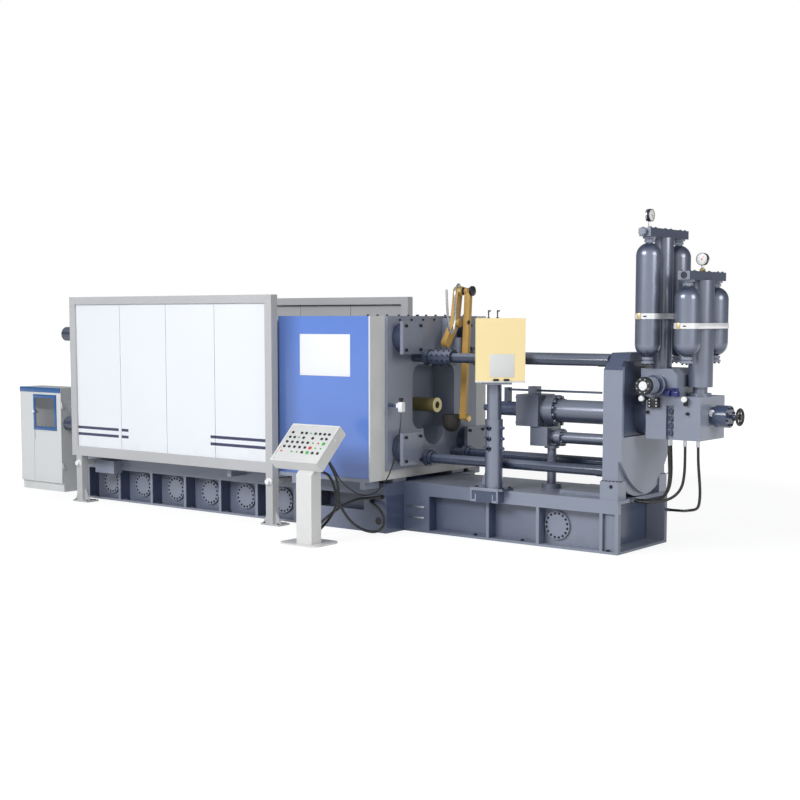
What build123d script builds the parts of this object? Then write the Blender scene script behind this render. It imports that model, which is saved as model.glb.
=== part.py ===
from build123d import *
import math
import os

os.makedirs("parts", exist_ok=True)

# All lengths are in millimetres. X runs along the machine towards the
# injection end, Y away from the operator, Z up. The origin lies on the
# floor, on the centreline, under the die face of the fixed platen.

# Shared clearances
CUT_OVER = 10
SEAT_GAP = 0.3
RUN_GAP = 6
ROD_GAP = 0.3
ARC_SHARE = 0.45

# Beds
BASE_H = 650
BASE_PLATE_T = 30
BASE_BEAM_H = 166
BED_JOINT_X = 540
INJ_BASE_LEN = 3195
INJ_BASE_HALF_W = 628
INJ_BAY_DEPTH = 155
INJ_RIB_T = 40
INJ_END_POST = 45
INJ_END_LIP = 46
INJ_END_WALL = 68
INJ_END_DEPTH = 260
INJ_END_BAY_DEPTH = 50
INJ_RIB_LEADS = (395, 1332)
INJ_RIB_TAILS = (1120, 230)
CLAMP_BASE_LEN = 6015
CLAMP_BASE_HALF_W = 1008
CLAMP_BAY_DEPTH = 190
CLAMP_RIB_T = 45
CLAMP_RIB_PITCH = 725
CLAMP_RIB_COUNT = 7
CLAMP_RIB_INSET = 60
RECESS_X0 = -584
RECESS_LEN = 751
RECESS_Z0 = 280
RECESS_H = 208
COVER_T = 32
INJ_COVER_TAIL = 913
COVER_LOW_GAP = 56
COVER_TOP_GAP = 46
SLIDE_LEAD = 350
SLIDE_END_GAP = 115
SLIDE_W = 760
SLIDE_T = 40

# Platens and clamping end
PLATEN_T = 560
PLATEN_HALF = 1002
PLATEN_Z = 1826
MOVING_T = 520
MOVING_HALF = 940
DIE_SPACE = 1150
REAR_T = 520
REAR_INSET = 75
TIE_HALF = 720
TIE_R = 113
TIE_TAIL = 827
TIE_NUT_R = 190
TIE_NUT_L = 150
TIE_CAP = 420
TIE_CAP_T = 50
REAR_NUT_L = 280
POCKET_HALF_W = 472
POCKET_Z0 = 1330
POCKET_TOP = 2187
POCKET_DEPTH = 360
POCKET_R = 150
SLOT_HALF_W = 230
SLOT_Z0 = 1100
FOOT_LEN = 420
FOOT_W = 280
FOOT_Y = 660
LINK_Y = 430
LINK_MID_T = 70
LINK_SIDE_T = 40
LINK_GAP = 1
LINK_BOSS_R = 120
LINK_WAIST = 170
PIN_R = 55
SHORT_BOSS_R = 80
SHORT_WAIST = 110
SHORT_PIN_R = 38
PIN_UP = 560
LUG_LEN = 260
KNEE_SHARE = 0.477
KNEE_UP = 640
THIRD_PIN_SHARE = 0.366
THIRD_PIN_UP = 528
CROSSHEAD_SHARE = 0.2275
CROSSHEAD_T = 260
CROSSHEAD_H = 420
CROSSHEAD_HALF_W = 520
CROSSHEAD_PIN_UP = 130
CROSSHEAD_SLOT_UP = 30
CLAMP_CYL_R = 190
CLAMP_CYL_LEN = 820
CLAMP_ROD_R = 80
CLAMP_FLANGE_R = 290
CLAMP_FLANGE_T = 90

# Bulkhead, guards and doors
BULK_X = 500
BULK_T = 15
BULK_HALF_W = 1303
BULK_RISE = 50
BULK_TOP = 2828
GUARD_Y = 1428
GUARD_D = 120
GUARD_INSET = 203
GUARD_NEAR_X1 = -1083
GUARD_FAR_X1 = -890
GUARD_Z0 = 715
GUARD_TOP = 3115
GUARD_RAIL_TOP = 110
GUARD_RAIL_LOW = 142
GUARD_STILE = 125
GUARD_PANEL_T = 25
GUARD_PANEL_SET = 30
GUARD_PANELS = 4
PANEL_SEAM = 8
POST_INSET = 96
POST_W = 125
POST_FOOT_LEN = 330
POST_FOOT_T = 25
POST_GUSSET_H = 190
POST_GUSSET_T = 20
TIE_BRACKET_W = 100
TIE_BRACKET_H = 60
TIE_BRACKET_DROP = 80
DOOR_Y = 1290
DOOR_T = 40
DOOR_X0 = -1083
DOOR_Z0 = 735
DOOR_TOP = 2828
DOOR_TRAVEL = 1000
RAIL_H = 50
RAIL_T = 60
RAIL_X0 = -2150
RAIL_ARM_W = 80
RAIL_ARM_T = 90

# Shot end
SHOT_Z = 1635
SLEEVE_R = 96
SLEEVE_RING_R = 101
SLEEVE_RING_T = 40
SLEEVE_BORE_R = 46
SLEEVE_X0 = 0
SLEEVE_X1 = 620
POUR_X = 531
POUR_LEN = 120
POUR_W = 70
ROD_R = 64
ROD_Y = 437
ROD_LOW_Z = 968
ROD_TOP_Z = 2288
ROD_FLANGE_R = 108
ROD_FLANGE_T = 60
ROD_FLANGE_OFF = 215
ROD_NECK_R = 88
ROD_NECK_LEN = 55
ROD_CLAMP_LEN = 315
ROD_COUPLER_R = 70
ROD_COUPLER_LEN = 150
END_INSET = 240
END_T = 255
END_HALF_W = 590
END_LAYER_T = 45
END_TOP = 2390
END_CHAMFER = 200
END_FLAT_RISE = 220
END_STEP_W = 170
END_HULL_MID_Y = 243
END_HULL_RISE = 107
END_HULL_MID_RISE = 30
END_KEEL_RISE = 6
LAYER_CORNER_RISE = 466
LAYER_MID_Y = 323
LAYER_MID_RISE = 176
LAYER_KEEL_RISE = 30
POCKET2_HALF_W = 545
POCKET2_Z0 = 1395
POCKET2_H = 900
END_FOOT_LEAD = 15
END_FOOT_LEN = 245
END_FOOT_Y = 618
HEAD_X0 = 2010
HEAD_LEN = 330
HEAD_HALF = 200
NECK_R = 160
NECK_LEN = 60
FLANGE_R = 200
FLANGE_LEN = 130
FLANGE_BOLT_R = 22
FLANGE_BOLT_H = 30
FLANGE_BOLTS = 12
CYL_R = 145
PISTON_R = 60
COUPLING_R = 92
COUPLING_X0 = 1500
COUPLING_LEN = 470
TIP_R = 41
TIP_LEN = 100
PLUNGER_TRAVEL = 850
PISTON_TAIL = 60
BRACKET_X0 = 1730
BRACKET_T = 60
BRACKET_W = 90
SENSOR_Z = 1882
SENSOR_R = 14
SENSOR_END_GAP = 353
READER_X0 = 2100
READER_LEN = 130
READER_W = 110
READER_H = 100
READER_FOOT_H = 20
BOOST_X0 = 2205
BOOST_LEN = 255
BOOST_HALF_W = 165
BOOST_Z0 = 1190
BOOST_R = 73
BOOST_Z = 1300
BOOST_FLANGE_R = 112
BOOST_FLANGE_X0 = 2530
BOOST_FLANGE_T = 70
BOOST_NECK_R = 85
COLUMN_X = 2430
COLUMN_R = 58
COLUMN_CAP_R = 95
COLUMN_CAP_T = 30
COLUMN_FOOT_R = 125
COLUMN_FOOT_T = 60

# Operator display post
HMI_X = 1970
HMI_Y = -632
HMI_TUBE_R = 111
HMI_TUBE_WALL = 14
HMI_TUBE_TOP = 1540
HMI_MAST_R = 92
HMI_MAST_BOTTOM = 1000
HMI_TOP = 2005
HMI_PLATE_T = 25
HMI_PLATE_W = 280
HMI_PLATE_BACK = 100
HMI_DROP = 200
HMI_FOOT_LEN = 420
HMI_FOOT_W = 250
HMI_FOOT_T = 30
HMI_CHANNEL_H = 150
HMI_CHANNEL_T = 22
HMI_CHANNEL_D = 120
HMI_CHANNEL_W = 300
BOX_W = 610
BOX_D = 130
BOX_H = 770
BOX_TURN = 38
BOX_SHIFT_X = 55
BOX_FORWARD = 195
GUSSET_T = 20
GUSSET_H = 260
GUSSET_W = 90

# Ladling arm
LADLER_PIVOT_X = 915
LADLER_TOP_Y = 300
LADLER_TOP_Z = 3162
LADLER_HUB_Y = 193
LADLER_HUB_Z = 1467
LADLER_MID_Y = 236
LADLER_MID_Z = 2741
ARM_W = 90
ARM_D = 62
HUB_R = 55
HUB_X0 = 708
HUB_LEN = 125
COLLAR_R = 42
DISC_R = 62
DISC_T = 28
ROCKER_X0 = 700
ROCKER_T = 80
ROCKER_HALF = 58
ROCKER_TAIL_Y = 30
ROCKER_TAIL_Z = 2470
LADLER_BRACKET_W = 110
LADLER_BRACKET_Z0 = 2260
LADLER_BRACKET_TOP = 2540
LADLER_BRACKET_X1 = 850
LADLER_SEAT_TOP = 2800
LADLE_R = 122
LADLE_H = 235
LADLE_WALL = 12
LADLE_RISE = 35
LADLE_HUB_R = 34
LADLE_SHAFT_R = 20
LADLE_BOSS_T = 30
LADLE_X = 720

# Manifold, accumulators and handwheel
REAR_NECK_LEN = 168
BLOCK_LEN = 700
BLOCK_HALF_W = 320
BLOCK_Z0 = 1382
BLOCK_H = 508
REAR_NECK_R = 230
PLUG_SLOT_IN = 262
PLUG_SLOT_W = 100
PLUG_SLOT_D = 40
PLUG_SLOT_H = 400
UPPER_LEAD = 83
UPPER_LEN = 470
UPPER_H = 320
UPPER_HALF_W = 300
UPPER_CHAMFER = 70
VALVE_IN = 142
VALVE_Z = 2020
VALVE_R = 118
VALVE_LEN = 130
VALVE_CAP_R = 78
VALVE_CAP_LEN = 90
SIDE_FLANGE_R = 105
SIDE_FLANGE_T = 55
BONNET_R = 130
BONNET_LEN = 165
SIDE_VALVE_Z = 1660
STEM_R = 22
STEM_LEN = 120
WHEEL_R = 105
WHEEL_RIM_R = 16
WHEEL_HUB_R = 34
WHEEL_HUB_LEN = 44
WHEEL_SPOKES = 4
WHEEL_SPOKE_R = 10
BOTTLE_R = 150
LARGE_IN = 37
LARGE_SPACING = 375
LARGE_Z0 = 2343
LARGE_TOP = 3675
LARGE_TUBE_R = 115
SMALL_IN = 537
SMALL_SPACING = 370
SMALL_Z0 = 2352
SMALL_TOP = 3168
SMALL_TUBE_R = 145
SMALL_TUBE_Z0 = 1995
SMALL_NECK_R = 85
SMALL_FLANGE_R = 132
SMALL_FLANGE_T = 34
BOTTLE_NECK_R = 42
BOTTLE_NECK_H = 70
TOP_BAR_W = 150
TOP_BAR_H = 100
TOP_BAR_OVER = 110
BAND_H = 65
BAND_T = 6
LARGE_BAND_Z = 2790
SMALL_BAND_Z = 2678
GAUGE_R = 72
GAUGE_T = 52
GAUGE_STEM_R = 16
GAUGE_RISE = 90

# Hoses from the manifold to the injection base: points on each centreline
HOSE_R = 17
FITTING_R = 21
FITTING_DROP = 70
FITTING_LEN = 60
HOSE_A = (
    (4210, -288, 1312), (4214, -291, 1150), (4228, -289, 950), (4205, -292, 765),
    (4112, -289, 655), (3950, -292, 622), (3795, -290, 627),
)
HOSE_B = (
    (4209, -238, 1312), (4216, -236, 1150), (4222, -239, 965), (4200, -237, 795),
    (4118, -240, 676), (3955, -238, 628), (3795, -238, 627),
)
HOSE_C = (
    (4417, -290, 1312), (4420, -291, 1150), (4417, -294, 985), (4395, -304, 830),
    (4314, -318, 722), (4185, -331, 655), (3985, -339, 618), (3795, -342, 627),
)
HOSE_D = (
    (4582, -290, 1312), (4585, -291, 1150), (4602, -289, 970), (4614, -283, 805),
    (4603, -268, 682), (4563, -219, 597), (4470, -118, 552), (4327, 50, 516),
    (4183, 250, 476), (4054, 426, 443), (3915, 555, 424), (3795, 594, 416),
)

# Console
CONSOLE_POST_X0 = 183
CONSOLE_POST_W = 250
CONSOLE_POST_D = 180
CONSOLE_POST_Y = -2350
CONSOLE_POST_TOP = 1010
CONSOLE_FOOT_X0 = -60
CONSOLE_FOOT_LEN = 620
CONSOLE_FOOT_Y0 = -2450
CONSOLE_FOOT_D = 520
CONSOLE_FOOT_T = 20
CONSOLE_FOOT_R = 120
CONSOLE_HEAD_X0 = -212
CONSOLE_HEAD_W = 784
CONSOLE_HEAD_SLOPE = 620
CONSOLE_HEAD_T = 150
CONSOLE_HEAD_TILT = 44
CONSOLE_HEAD_Y = -2400
CONSOLE_HEAD_Z = 1030

# Cables from the console to the clamp base and the limit switch
CABLE_R = 18
THIN_R = 8
GLAND_R = 26
GLAND_LEN = 60
GLAND_REACH = 42
THIN_GLAND_R = 14
LOOP_CABLE = (
    (400, -2050, 1099), (432, -1988, 975), (500, -1952, 830), (532, -1950, 655),
    (497, -1950, 460), (408, -1972, 300), (280, -1992, 170), (130, -1950, 72),
    (-20, -1850, 30), (-120, -1700, 50), (-118, -1550, 150), (-22, -1415, 282),
    (90, -1290, 385), (215, -1200, 448), (345, -1160, 466), (435, -1125, 475),
    (478, -1050, 478),
)
POST_CABLE = (
    (380, -2128, 900), (383, -2008, 878), (388, -1913, 785), (389, -1850, 640),
    (386, -1772, 468), (380, -1650, 312), (368, -1500, 185), (372, -1350, 95),
    (405, -1215, 40), (490, -1135, 32), (566, -1096, 98), (568, -1082, 216),
    (490, -1087, 330), (390, -1104, 398), (318, -1050, 411),
)
SWITCH_CABLE = (
    (330, -2008, 1156), (350, -1950, 1050), (412, -1902, 930), (460, -1872, 820),
    (452, -1790, 738), (412, -1670, 682), (388, -1530, 612), (372, -1390, 545),
    (352, -1270, 517), (366, -1165, 506), (422, -1096, 532), (503, -1064, 605),
    (590, -1052, 725), (668, -1048, 875), (722, -1050, 1040), (768, -1053, 1210),
    (798, -1050, 1370), (800, -1030, 1480), (775, -1000, 1580),
)

# Electric cabinet and small electrics
CABINET_GAP = 22
CABINET_W = 1040
CABINET_Y0 = -860
CABINET_D = 450
CABINET_H = 1680
CABINET_NARROW_W = 339
CABINET_PLINTH = 140
CABINET_DOOR_T = 30
CABINET_FRAME = 45
CABINET_HANDLE_W = 30
CABINET_HANDLE_H = 150
CABINET_HANDLE_D = 22
HINGE_PIN_R = 5
HINGE_R = 8
HINGE_OUT = 10
HINGE_BACK = 18
HINGE_HALF = 50
HINGE_LEAF_D = 42
HINGE_Z = (420, 1400)
JUNCTION_INSET = 425
JUNCTION_W = 430
JUNCTION_H = 190
JUNCTION_D = 160
JUNCTION_Z0 = 440
SWITCH_X0 = 700
SWITCH_W = 150
SWITCH_H = 145
SWITCH_Z0 = 1580
SWITCH_D = 80
SWITCH_Y0 = -1040
SWITCH_ARM_W = 50
SWITCH_ARM_Z = 1655

# Derived places
INJ_BASE_X1 = BED_JOINT_X + INJ_BASE_LEN
CLAMP_BASE_X0 = BED_JOINT_X - CLAMP_BASE_LEN
BEAM_Z = BASE_H - BASE_BEAM_H
COVER_R = (BEAM_Z - BASE_PLATE_T - COVER_LOW_GAP - COVER_TOP_GAP) / 2
COVER_Z = BASE_PLATE_T + COVER_LOW_GAP + COVER_R
INJ_RIB_X = [BED_JOINT_X + lead for lead in INJ_RIB_LEADS]
INJ_RIB_X += [INJ_BASE_X1 - tail for tail in INJ_RIB_TAILS]
INJ_COVER_X = INJ_BASE_X1 - INJ_COVER_TAIL
REAR_X = CLAMP_BASE_X0 + REAR_INSET
TIE_END_X = REAR_X - TIE_TAIL
REAR_X1 = REAR_X + REAR_T
MOVING_X0 = -DIE_SPACE - MOVING_T
LINK_SPAN = MOVING_X0 - REAR_X1
KNEE_X = REAR_X1 + KNEE_SHARE * LINK_SPAN
THIRD_PIN_X = REAR_X1 + THIRD_PIN_SHARE * LINK_SPAN
CROSSHEAD_X = REAR_X1 + CROSSHEAD_SHARE * LINK_SPAN
BULK_Z0 = BASE_H + BULK_RISE
GUARD_X0 = CLAMP_BASE_X0 + GUARD_INSET
TIE_BRACKET_Z = BASE_H - TIE_BRACKET_DROP
END_FLAT_Z = BASE_H + END_FLAT_RISE
END_HULL_Z = BASE_H + END_HULL_RISE
END_HULL_MID_Z = BASE_H + END_HULL_MID_RISE
END_KEEL_Z = BASE_H + END_KEEL_RISE
LAYER_CORNER_Z = BASE_H + LAYER_CORNER_RISE
LAYER_MID_Z = BASE_H + LAYER_MID_RISE
LAYER_KEEL_Z = BASE_H + LAYER_KEEL_RISE
CABINET_X0 = TIE_END_X - CABINET_GAP - CABINET_W
CABINET_SEAM_X = CABINET_X0 + CABINET_NARROW_W
JUNCTION_X0 = CLAMP_BASE_X0 + JUNCTION_INSET
BAY_H = BEAM_Z - BASE_PLATE_T
END_X0 = INJ_BASE_X1 - END_INSET
SLIDE_X0 = COLUMN_X + SLIDE_LEAD
SLIDE_X1 = END_X0 - SLIDE_END_GAP
END_X1 = END_X0 + END_T
END_FOOT_X0 = END_X0 - END_FOOT_LEAD
SENSOR_END_X = END_X0 - SENSOR_END_GAP
BLOCK_X0 = END_X1 + REAR_NECK_LEN
PLUG_SLOT_X = BLOCK_X0 + PLUG_SLOT_IN
UPPER_X0 = BLOCK_X0 - UPPER_LEAD
VALVE_X = BLOCK_X0 + VALVE_IN
LARGE_X = BLOCK_X0 + LARGE_IN
SMALL_X = BLOCK_X0 + SMALL_IN
CAP_X0 = PLATEN_T + TIE_NUT_L
HEAD_X1 = HEAD_X0 + HEAD_LEN
FLANGE_X0 = HEAD_X1 + NECK_LEN
FLANGE_X1 = FLANGE_X0 + FLANGE_LEN
BLOCK_X1 = BLOCK_X0 + BLOCK_LEN
BLOCK_TOP = BLOCK_Z0 + BLOCK_H
UPPER_TOP = BLOCK_TOP + UPPER_H
PISTON_X1 = HEAD_X0 + PLUNGER_TRAVEL + PISTON_TAIL
DOOR_X1 = BULK_X - RUN_GAP


def block(x0, x1, y0, y1, z0, z1):
    """Axis-aligned box between two corners."""
    body = Box(x1 - x0, y1 - y0, z1 - z0)
    return Pos((x0 + x1) / 2, (y0 + y1) / 2, (z0 + z1) / 2) * body


def rod_x(x0, x1, y, z, r):
    body = Rot(0, 90, 0) * Cylinder(r, x1 - x0)
    return Pos((x0 + x1) / 2, y, z) * body


def rod_y(x, y0, y1, z, r):
    body = Rot(90, 0, 0) * Cylinder(r, y1 - y0)
    return Pos(x, (y0 + y1) / 2, z) * body


def rod_z(x, y, z0, z1, r):
    return Pos(x, y, (z0 + z1) / 2) * Cylinder(r, z1 - z0)


def slab_y(outline, y0, y1):
    """Closed (x, z) outline drawn out along Y."""
    wire = Polyline(*[(x, 0, z) for x, z in outline], close=True)
    face = Pos(0, y0, 0) * make_face(wire)
    return extrude(face, amount=y1 - y0, dir=(0, 1, 0))


def far_copy(shape):
    return mirror(shape, about=Plane.XZ)


def link(p, q, half, x0, x1):
    """Bar with round ends between two (y, z) points."""
    length = math.dist(p, q)
    angle = math.degrees(math.atan2(q[1] - p[1], q[0] - p[0]))
    slot = SlotCenterToCenter(length, 2 * half)
    mid = ((p[0] + q[0]) / 2, (p[1] + q[1]) / 2)
    plane = Plane(origin=(x0, mid[0], mid[1]), x_dir=(0, 1, 0), z_dir=(1, 0, 0))
    return extrude(plane * Rot(0, 0, angle) * slot, amount=x1 - x0)


def save(node, *shapes):
    solids = []
    for shape in shapes:
        solids.extend(shape.solids())
    whole = solids[0] if len(solids) == 1 else Compound(children=solids)
    whole.label = node
    export_step(whole, "parts/" + node + ".step")


# Beds
def make_clamp_base():
    half = CLAMP_BASE_HALF_W
    body = block(CLAMP_BASE_X0, BED_JOINT_X, -half, half, 0, BASE_H)
    first = CLAMP_BASE_X0 + CLAMP_RIB_INSET
    cuts = []
    for i in range(CLAMP_RIB_COUNT - 1):
        x0 = first + i * CLAMP_RIB_PITCH + CLAMP_RIB_T / 2
        x1 = first + (i + 1) * CLAMP_RIB_PITCH - CLAMP_RIB_T / 2
        inner = half - CLAMP_BAY_DEPTH
        cuts.append(block(x0, x1, -half - CUT_OVER, -inner, BASE_PLATE_T, BEAM_Z))
    x1 = RECESS_X0 + RECESS_LEN
    inner = half - CLAMP_BAY_DEPTH
    cuts.append(block(RECESS_X0, x1, -half - CUT_OVER, -inner, RECESS_Z0, RECESS_Z0 + RECESS_H))
    for cut in cuts:
        body = body - cut - far_copy(cut)
    return body


def make_injection_base():
    half = INJ_BASE_HALF_W
    body = block(BED_JOINT_X, INJ_BASE_X1, -half, half, 0, BASE_H)
    inner = half - INJ_BAY_DEPTH
    for left, right in zip(INJ_RIB_X[:-1], INJ_RIB_X[1:]):
        x0 = left + INJ_RIB_T / 2
        x1 = right - INJ_RIB_T / 2
        cut = block(x0, x1, -half - CUT_OVER, -inner, BASE_PLATE_T, BEAM_Z)
        body = body - cut - far_copy(cut)
    x0 = INJ_RIB_X[-1] + INJ_RIB_T / 2
    x1 = INJ_BASE_X1 - INJ_END_POST
    inner = half - INJ_END_BAY_DEPTH
    cut = block(x0, x1, -half - CUT_OVER, -inner, BASE_PLATE_T, BEAM_Z)
    body = body - cut - far_copy(cut)
    wall = half - INJ_END_WALL
    x0 = INJ_BASE_X1 - INJ_END_DEPTH
    body -= block(x0, INJ_BASE_X1 + CUT_OVER, -wall, wall, BASE_PLATE_T, BASE_H - INJ_END_LIP)
    slide_y = SLIDE_W / 2
    body += block(SLIDE_X0, SLIDE_X1, -slide_y, slide_y, BASE_H, BASE_H + SLIDE_T)
    return body


def make_base_covers():
    covers = []
    first = CLAMP_BASE_X0 + CLAMP_RIB_INSET
    web = CLAMP_BASE_HALF_W - CLAMP_BAY_DEPTH
    for i in range(CLAMP_RIB_COUNT - 1):
        x = first + (i + 1 / 2) * CLAMP_RIB_PITCH
        covers.append(rod_y(x, -web - COVER_T, -web, COVER_Z, COVER_R))
    web = INJ_BASE_HALF_W - INJ_BAY_DEPTH
    covers.append(rod_y(INJ_COVER_X, -web - COVER_T, -web, COVER_Z, COVER_R))
    return covers + [far_copy(c) for c in covers]


# Clamping end
def platen(x0, x1, half):
    body = block(x0, x1, -half, half, PLATEN_Z - half, PLATEN_Z + half)
    bars = []
    for y in (-TIE_HALF, TIE_HALF):
        for z in (PLATEN_Z - TIE_HALF, PLATEN_Z + TIE_HALF):
            bars.append(rod_x(x0 - CUT_OVER, x1 + CUT_OVER, y, z, TIE_R + SEAT_GAP))
    for bar in bars:
        body -= bar
    mid = (x0 + x1) / 2
    for y in (-FOOT_Y, FOOT_Y):
        foot = block(mid - FOOT_LEN / 2, mid + FOOT_LEN / 2, y - FOOT_W / 2, y + FOOT_W / 2, BASE_H, PLATEN_Z - half)
        body += foot
    return body


def rounded_cut(half_w, z0, z1, r, x0, x1):
    shape = RectangleRounded(2 * half_w, z1 - z0, r)
    plane = Plane(origin=(x0, 0, (z0 + z1) / 2), x_dir=(0, 1, 0), z_dir=(1, 0, 0))
    return extrude(plane * shape, amount=x1 - x0)


def make_fixed_platen():
    body = platen(0, PLATEN_T, PLATEN_HALF)
    x0 = PLATEN_T - POCKET_DEPTH
    x1 = PLATEN_T + CUT_OVER
    body -= rounded_cut(POCKET_HALF_W, POCKET_Z0, POCKET_TOP, POCKET_R, x0, x1)
    body -= rounded_cut(SLOT_HALF_W, SLOT_Z0, SHOT_Z, SLOT_HALF_W - CUT_OVER, x0, x1)
    body -= rod_x(-CUT_OVER, PLATEN_T, 0, SHOT_Z, SLEEVE_R + SEAT_GAP)
    return body


def make_moving_platen():
    return platen(MOVING_X0, -DIE_SPACE, MOVING_HALF)


def make_rear_platen():
    body = platen(REAR_X, REAR_X1, PLATEN_HALF)
    body -= rod_x(REAR_X - CUT_OVER, REAR_X1 + CUT_OVER, 0, PLATEN_Z, CLAMP_ROD_R + ROD_GAP)
    return body


def make_tie_bars():
    parts = []
    for y in (-TIE_HALF, TIE_HALF):
        for z in (PLATEN_Z - TIE_HALF, PLATEN_Z + TIE_HALF):
            parts.append(rod_x(TIE_END_X, CAP_X0, y, z, TIE_R))
    return parts


def make_tie_nuts():
    parts = []
    for y in (-TIE_HALF, TIE_HALF):
        for z in (PLATEN_Z - TIE_HALF, PLATEN_Z + TIE_HALF):
            bar = rod_x(TIE_END_X, CAP_X0, y, z, TIE_R + SEAT_GAP)
            cap = TIE_CAP / 2
            nut = rod_x(PLATEN_T, CAP_X0, y, z, TIE_NUT_R)
            nut += block(CAP_X0, CAP_X0 + TIE_CAP_T, y - cap, y + cap, z - cap, z + cap)
            parts.append(nut - bar)
            parts.append(rod_x(REAR_X - REAR_NUT_L, REAR_X, y, z, TIE_NUT_R) - bar)
    return parts


def toggle_link(p, q, boss_r, waist, pins, y0, y1):
    """Flat link with round bosses at p and q, bored for each (x, z, radius) in pins."""
    length = math.dist(p, q)
    angle = math.degrees(math.atan2(q[1] - p[1], q[0] - p[0]))
    mid = ((p[0] + q[0]) / 2, (p[1] + q[1]) / 2)
    plane = Plane(origin=(mid[0], y1, mid[1]), x_dir=(1, 0, 0), z_dir=(0, -1, 0))
    body = extrude(plane * Rot(0, 0, angle) * SlotCenterToCenter(length, waist), amount=y1 - y0)
    for x, z in (p, q):
        body += rod_y(x, y0, y1, z, boss_r)
    return bore_pins(body, pins, y0, y1)


def bore_pins(body, pins, y0, y1):
    for x, z, r in pins:
        body -= rod_y(x, y0 - CUT_OVER, y1 + CUT_OVER, z, r + SEAT_GAP)
    return body


def side_layers(y):
    """The two outer layers of the links, each side of the middle one."""
    inner = LINK_MID_T / 2 + LINK_GAP
    outer = inner + LINK_SIDE_T
    return ((y - outer, y - inner), (y + inner, y + outer))


def lug(face_x, pin, y0, y1):
    """Plate standing off a platen, round about its pin."""
    x0, x1 = sorted((face_x, pin[0]))
    body = block(x0, x1, y0, y1, pin[1] - LINK_BOSS_R, pin[1] + LINK_BOSS_R)
    body += rod_y(pin[0], y0, y1, pin[1], LINK_BOSS_R)
    return bore_pins(body, [(*pin, PIN_R)], y0, y1)


def toggle_pins():
    """(x, z, radius) of the upper five pins, measured from the platen's middle."""
    return {
        "front": (MOVING_X0 - LUG_LEN, PIN_UP, PIN_R),
        "rear": (REAR_X1 + LUG_LEN, PIN_UP, PIN_R),
        "knee": (KNEE_X, KNEE_UP, PIN_R),
        "third": (THIRD_PIN_X, THIRD_PIN_UP, SHORT_PIN_R),
        "head": (CROSSHEAD_X, CROSSHEAD_PIN_UP, SHORT_PIN_R),
    }


def toggle_side(y, sign):
    """One of the four sets of links: two long ones, the short one to the crosshead, lugs and pins."""
    pins = {name: (x, PLATEN_Z + sign * up, r) for name, (x, up, r) in toggle_pins().items()}
    front, rear, knee = pins["front"], pins["rear"], pins["knee"]
    third, head = pins["third"], pins["head"]
    mid = (y - LINK_MID_T / 2, y + LINK_MID_T / 2)
    parts = [
        toggle_link(front[:2], knee[:2], LINK_BOSS_R, LINK_WAIST, (front, knee), *mid),
        toggle_link(head[:2], third[:2], SHORT_BOSS_R, SHORT_WAIST, (head, third), *mid),
        lug(REAR_X1, rear[:2], *mid),
    ]
    for y0, y1 in side_layers(y):
        plate = toggle_link(knee[:2], rear[:2], LINK_BOSS_R, LINK_WAIST, (knee, rear), y0, y1)
        plate += rod_y(third[0], y0, y1, third[1], SHORT_BOSS_R)
        parts.append(bore_pins(plate, [third], y0, y1))
        parts.append(lug(MOVING_X0, front[:2], y0, y1))
    reach = LINK_MID_T / 2 + LINK_GAP + LINK_SIDE_T
    for x, z, r in pins.values():
        parts.append(rod_y(x, y - reach, y + reach, z, r))
    return parts


def make_toggle_links():
    parts = []
    for sign in (-1, 1):
        for y in (-LINK_Y, LINK_Y):
            parts += toggle_side(y, sign)
    return parts


def make_crosshead():
    """Block that the short links draw forwards and back, with a slot and pin for each."""
    half = CROSSHEAD_H / 2
    x0 = CROSSHEAD_X - CROSSHEAD_T / 2
    x1 = x0 + CROSSHEAD_T
    body = block(x0, x1, -CROSSHEAD_HALF_W, CROSSHEAD_HALF_W, PLATEN_Z - half, PLATEN_Z + half)
    slot = LINK_MID_T / 2 + LINK_GAP
    reach = slot + LINK_SIDE_T
    for y in (-LINK_Y, LINK_Y):
        for sign in (-1, 1):
            z0, z1 = sorted((sign * CROSSHEAD_SLOT_UP, sign * (half + CUT_OVER)))
            body -= block(x0 - CUT_OVER, x1 + CUT_OVER, y - slot, y + slot, PLATEN_Z + z0, PLATEN_Z + z1)
            z = PLATEN_Z + sign * CROSSHEAD_PIN_UP
            body -= rod_y(CROSSHEAD_X, y - reach, y + reach, z, SHORT_PIN_R + SEAT_GAP)
    return body


def make_clamp_cylinder():
    x0 = REAR_X - CLAMP_CYL_LEN
    return [
        rod_x(x0, REAR_X - CLAMP_FLANGE_T, 0, PLATEN_Z, CLAMP_CYL_R),
        rod_x(REAR_X - CLAMP_FLANGE_T, REAR_X, 0, PLATEN_Z, CLAMP_FLANGE_R),
        rod_x(REAR_X, CROSSHEAD_X - CROSSHEAD_T / 2, 0, PLATEN_Z, CLAMP_ROD_R),
        make_crosshead(),
    ]


# Bulkhead, guards and doors
def make_bulkhead():
    half = BULK_HALF_W
    body = block(BULK_X, BULK_X + BULK_T, -half, half, BULK_Z0, BULK_TOP)
    inner = PLATEN_HALF + SEAT_GAP
    z0 = PLATEN_Z - PLATEN_HALF - SEAT_GAP
    x0 = BULK_X - CUT_OVER
    x1 = BULK_X + BULK_T + CUT_OVER
    body -= block(x0, x1, -inner, inner, z0, BULK_TOP + CUT_OVER)
    return body


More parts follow.
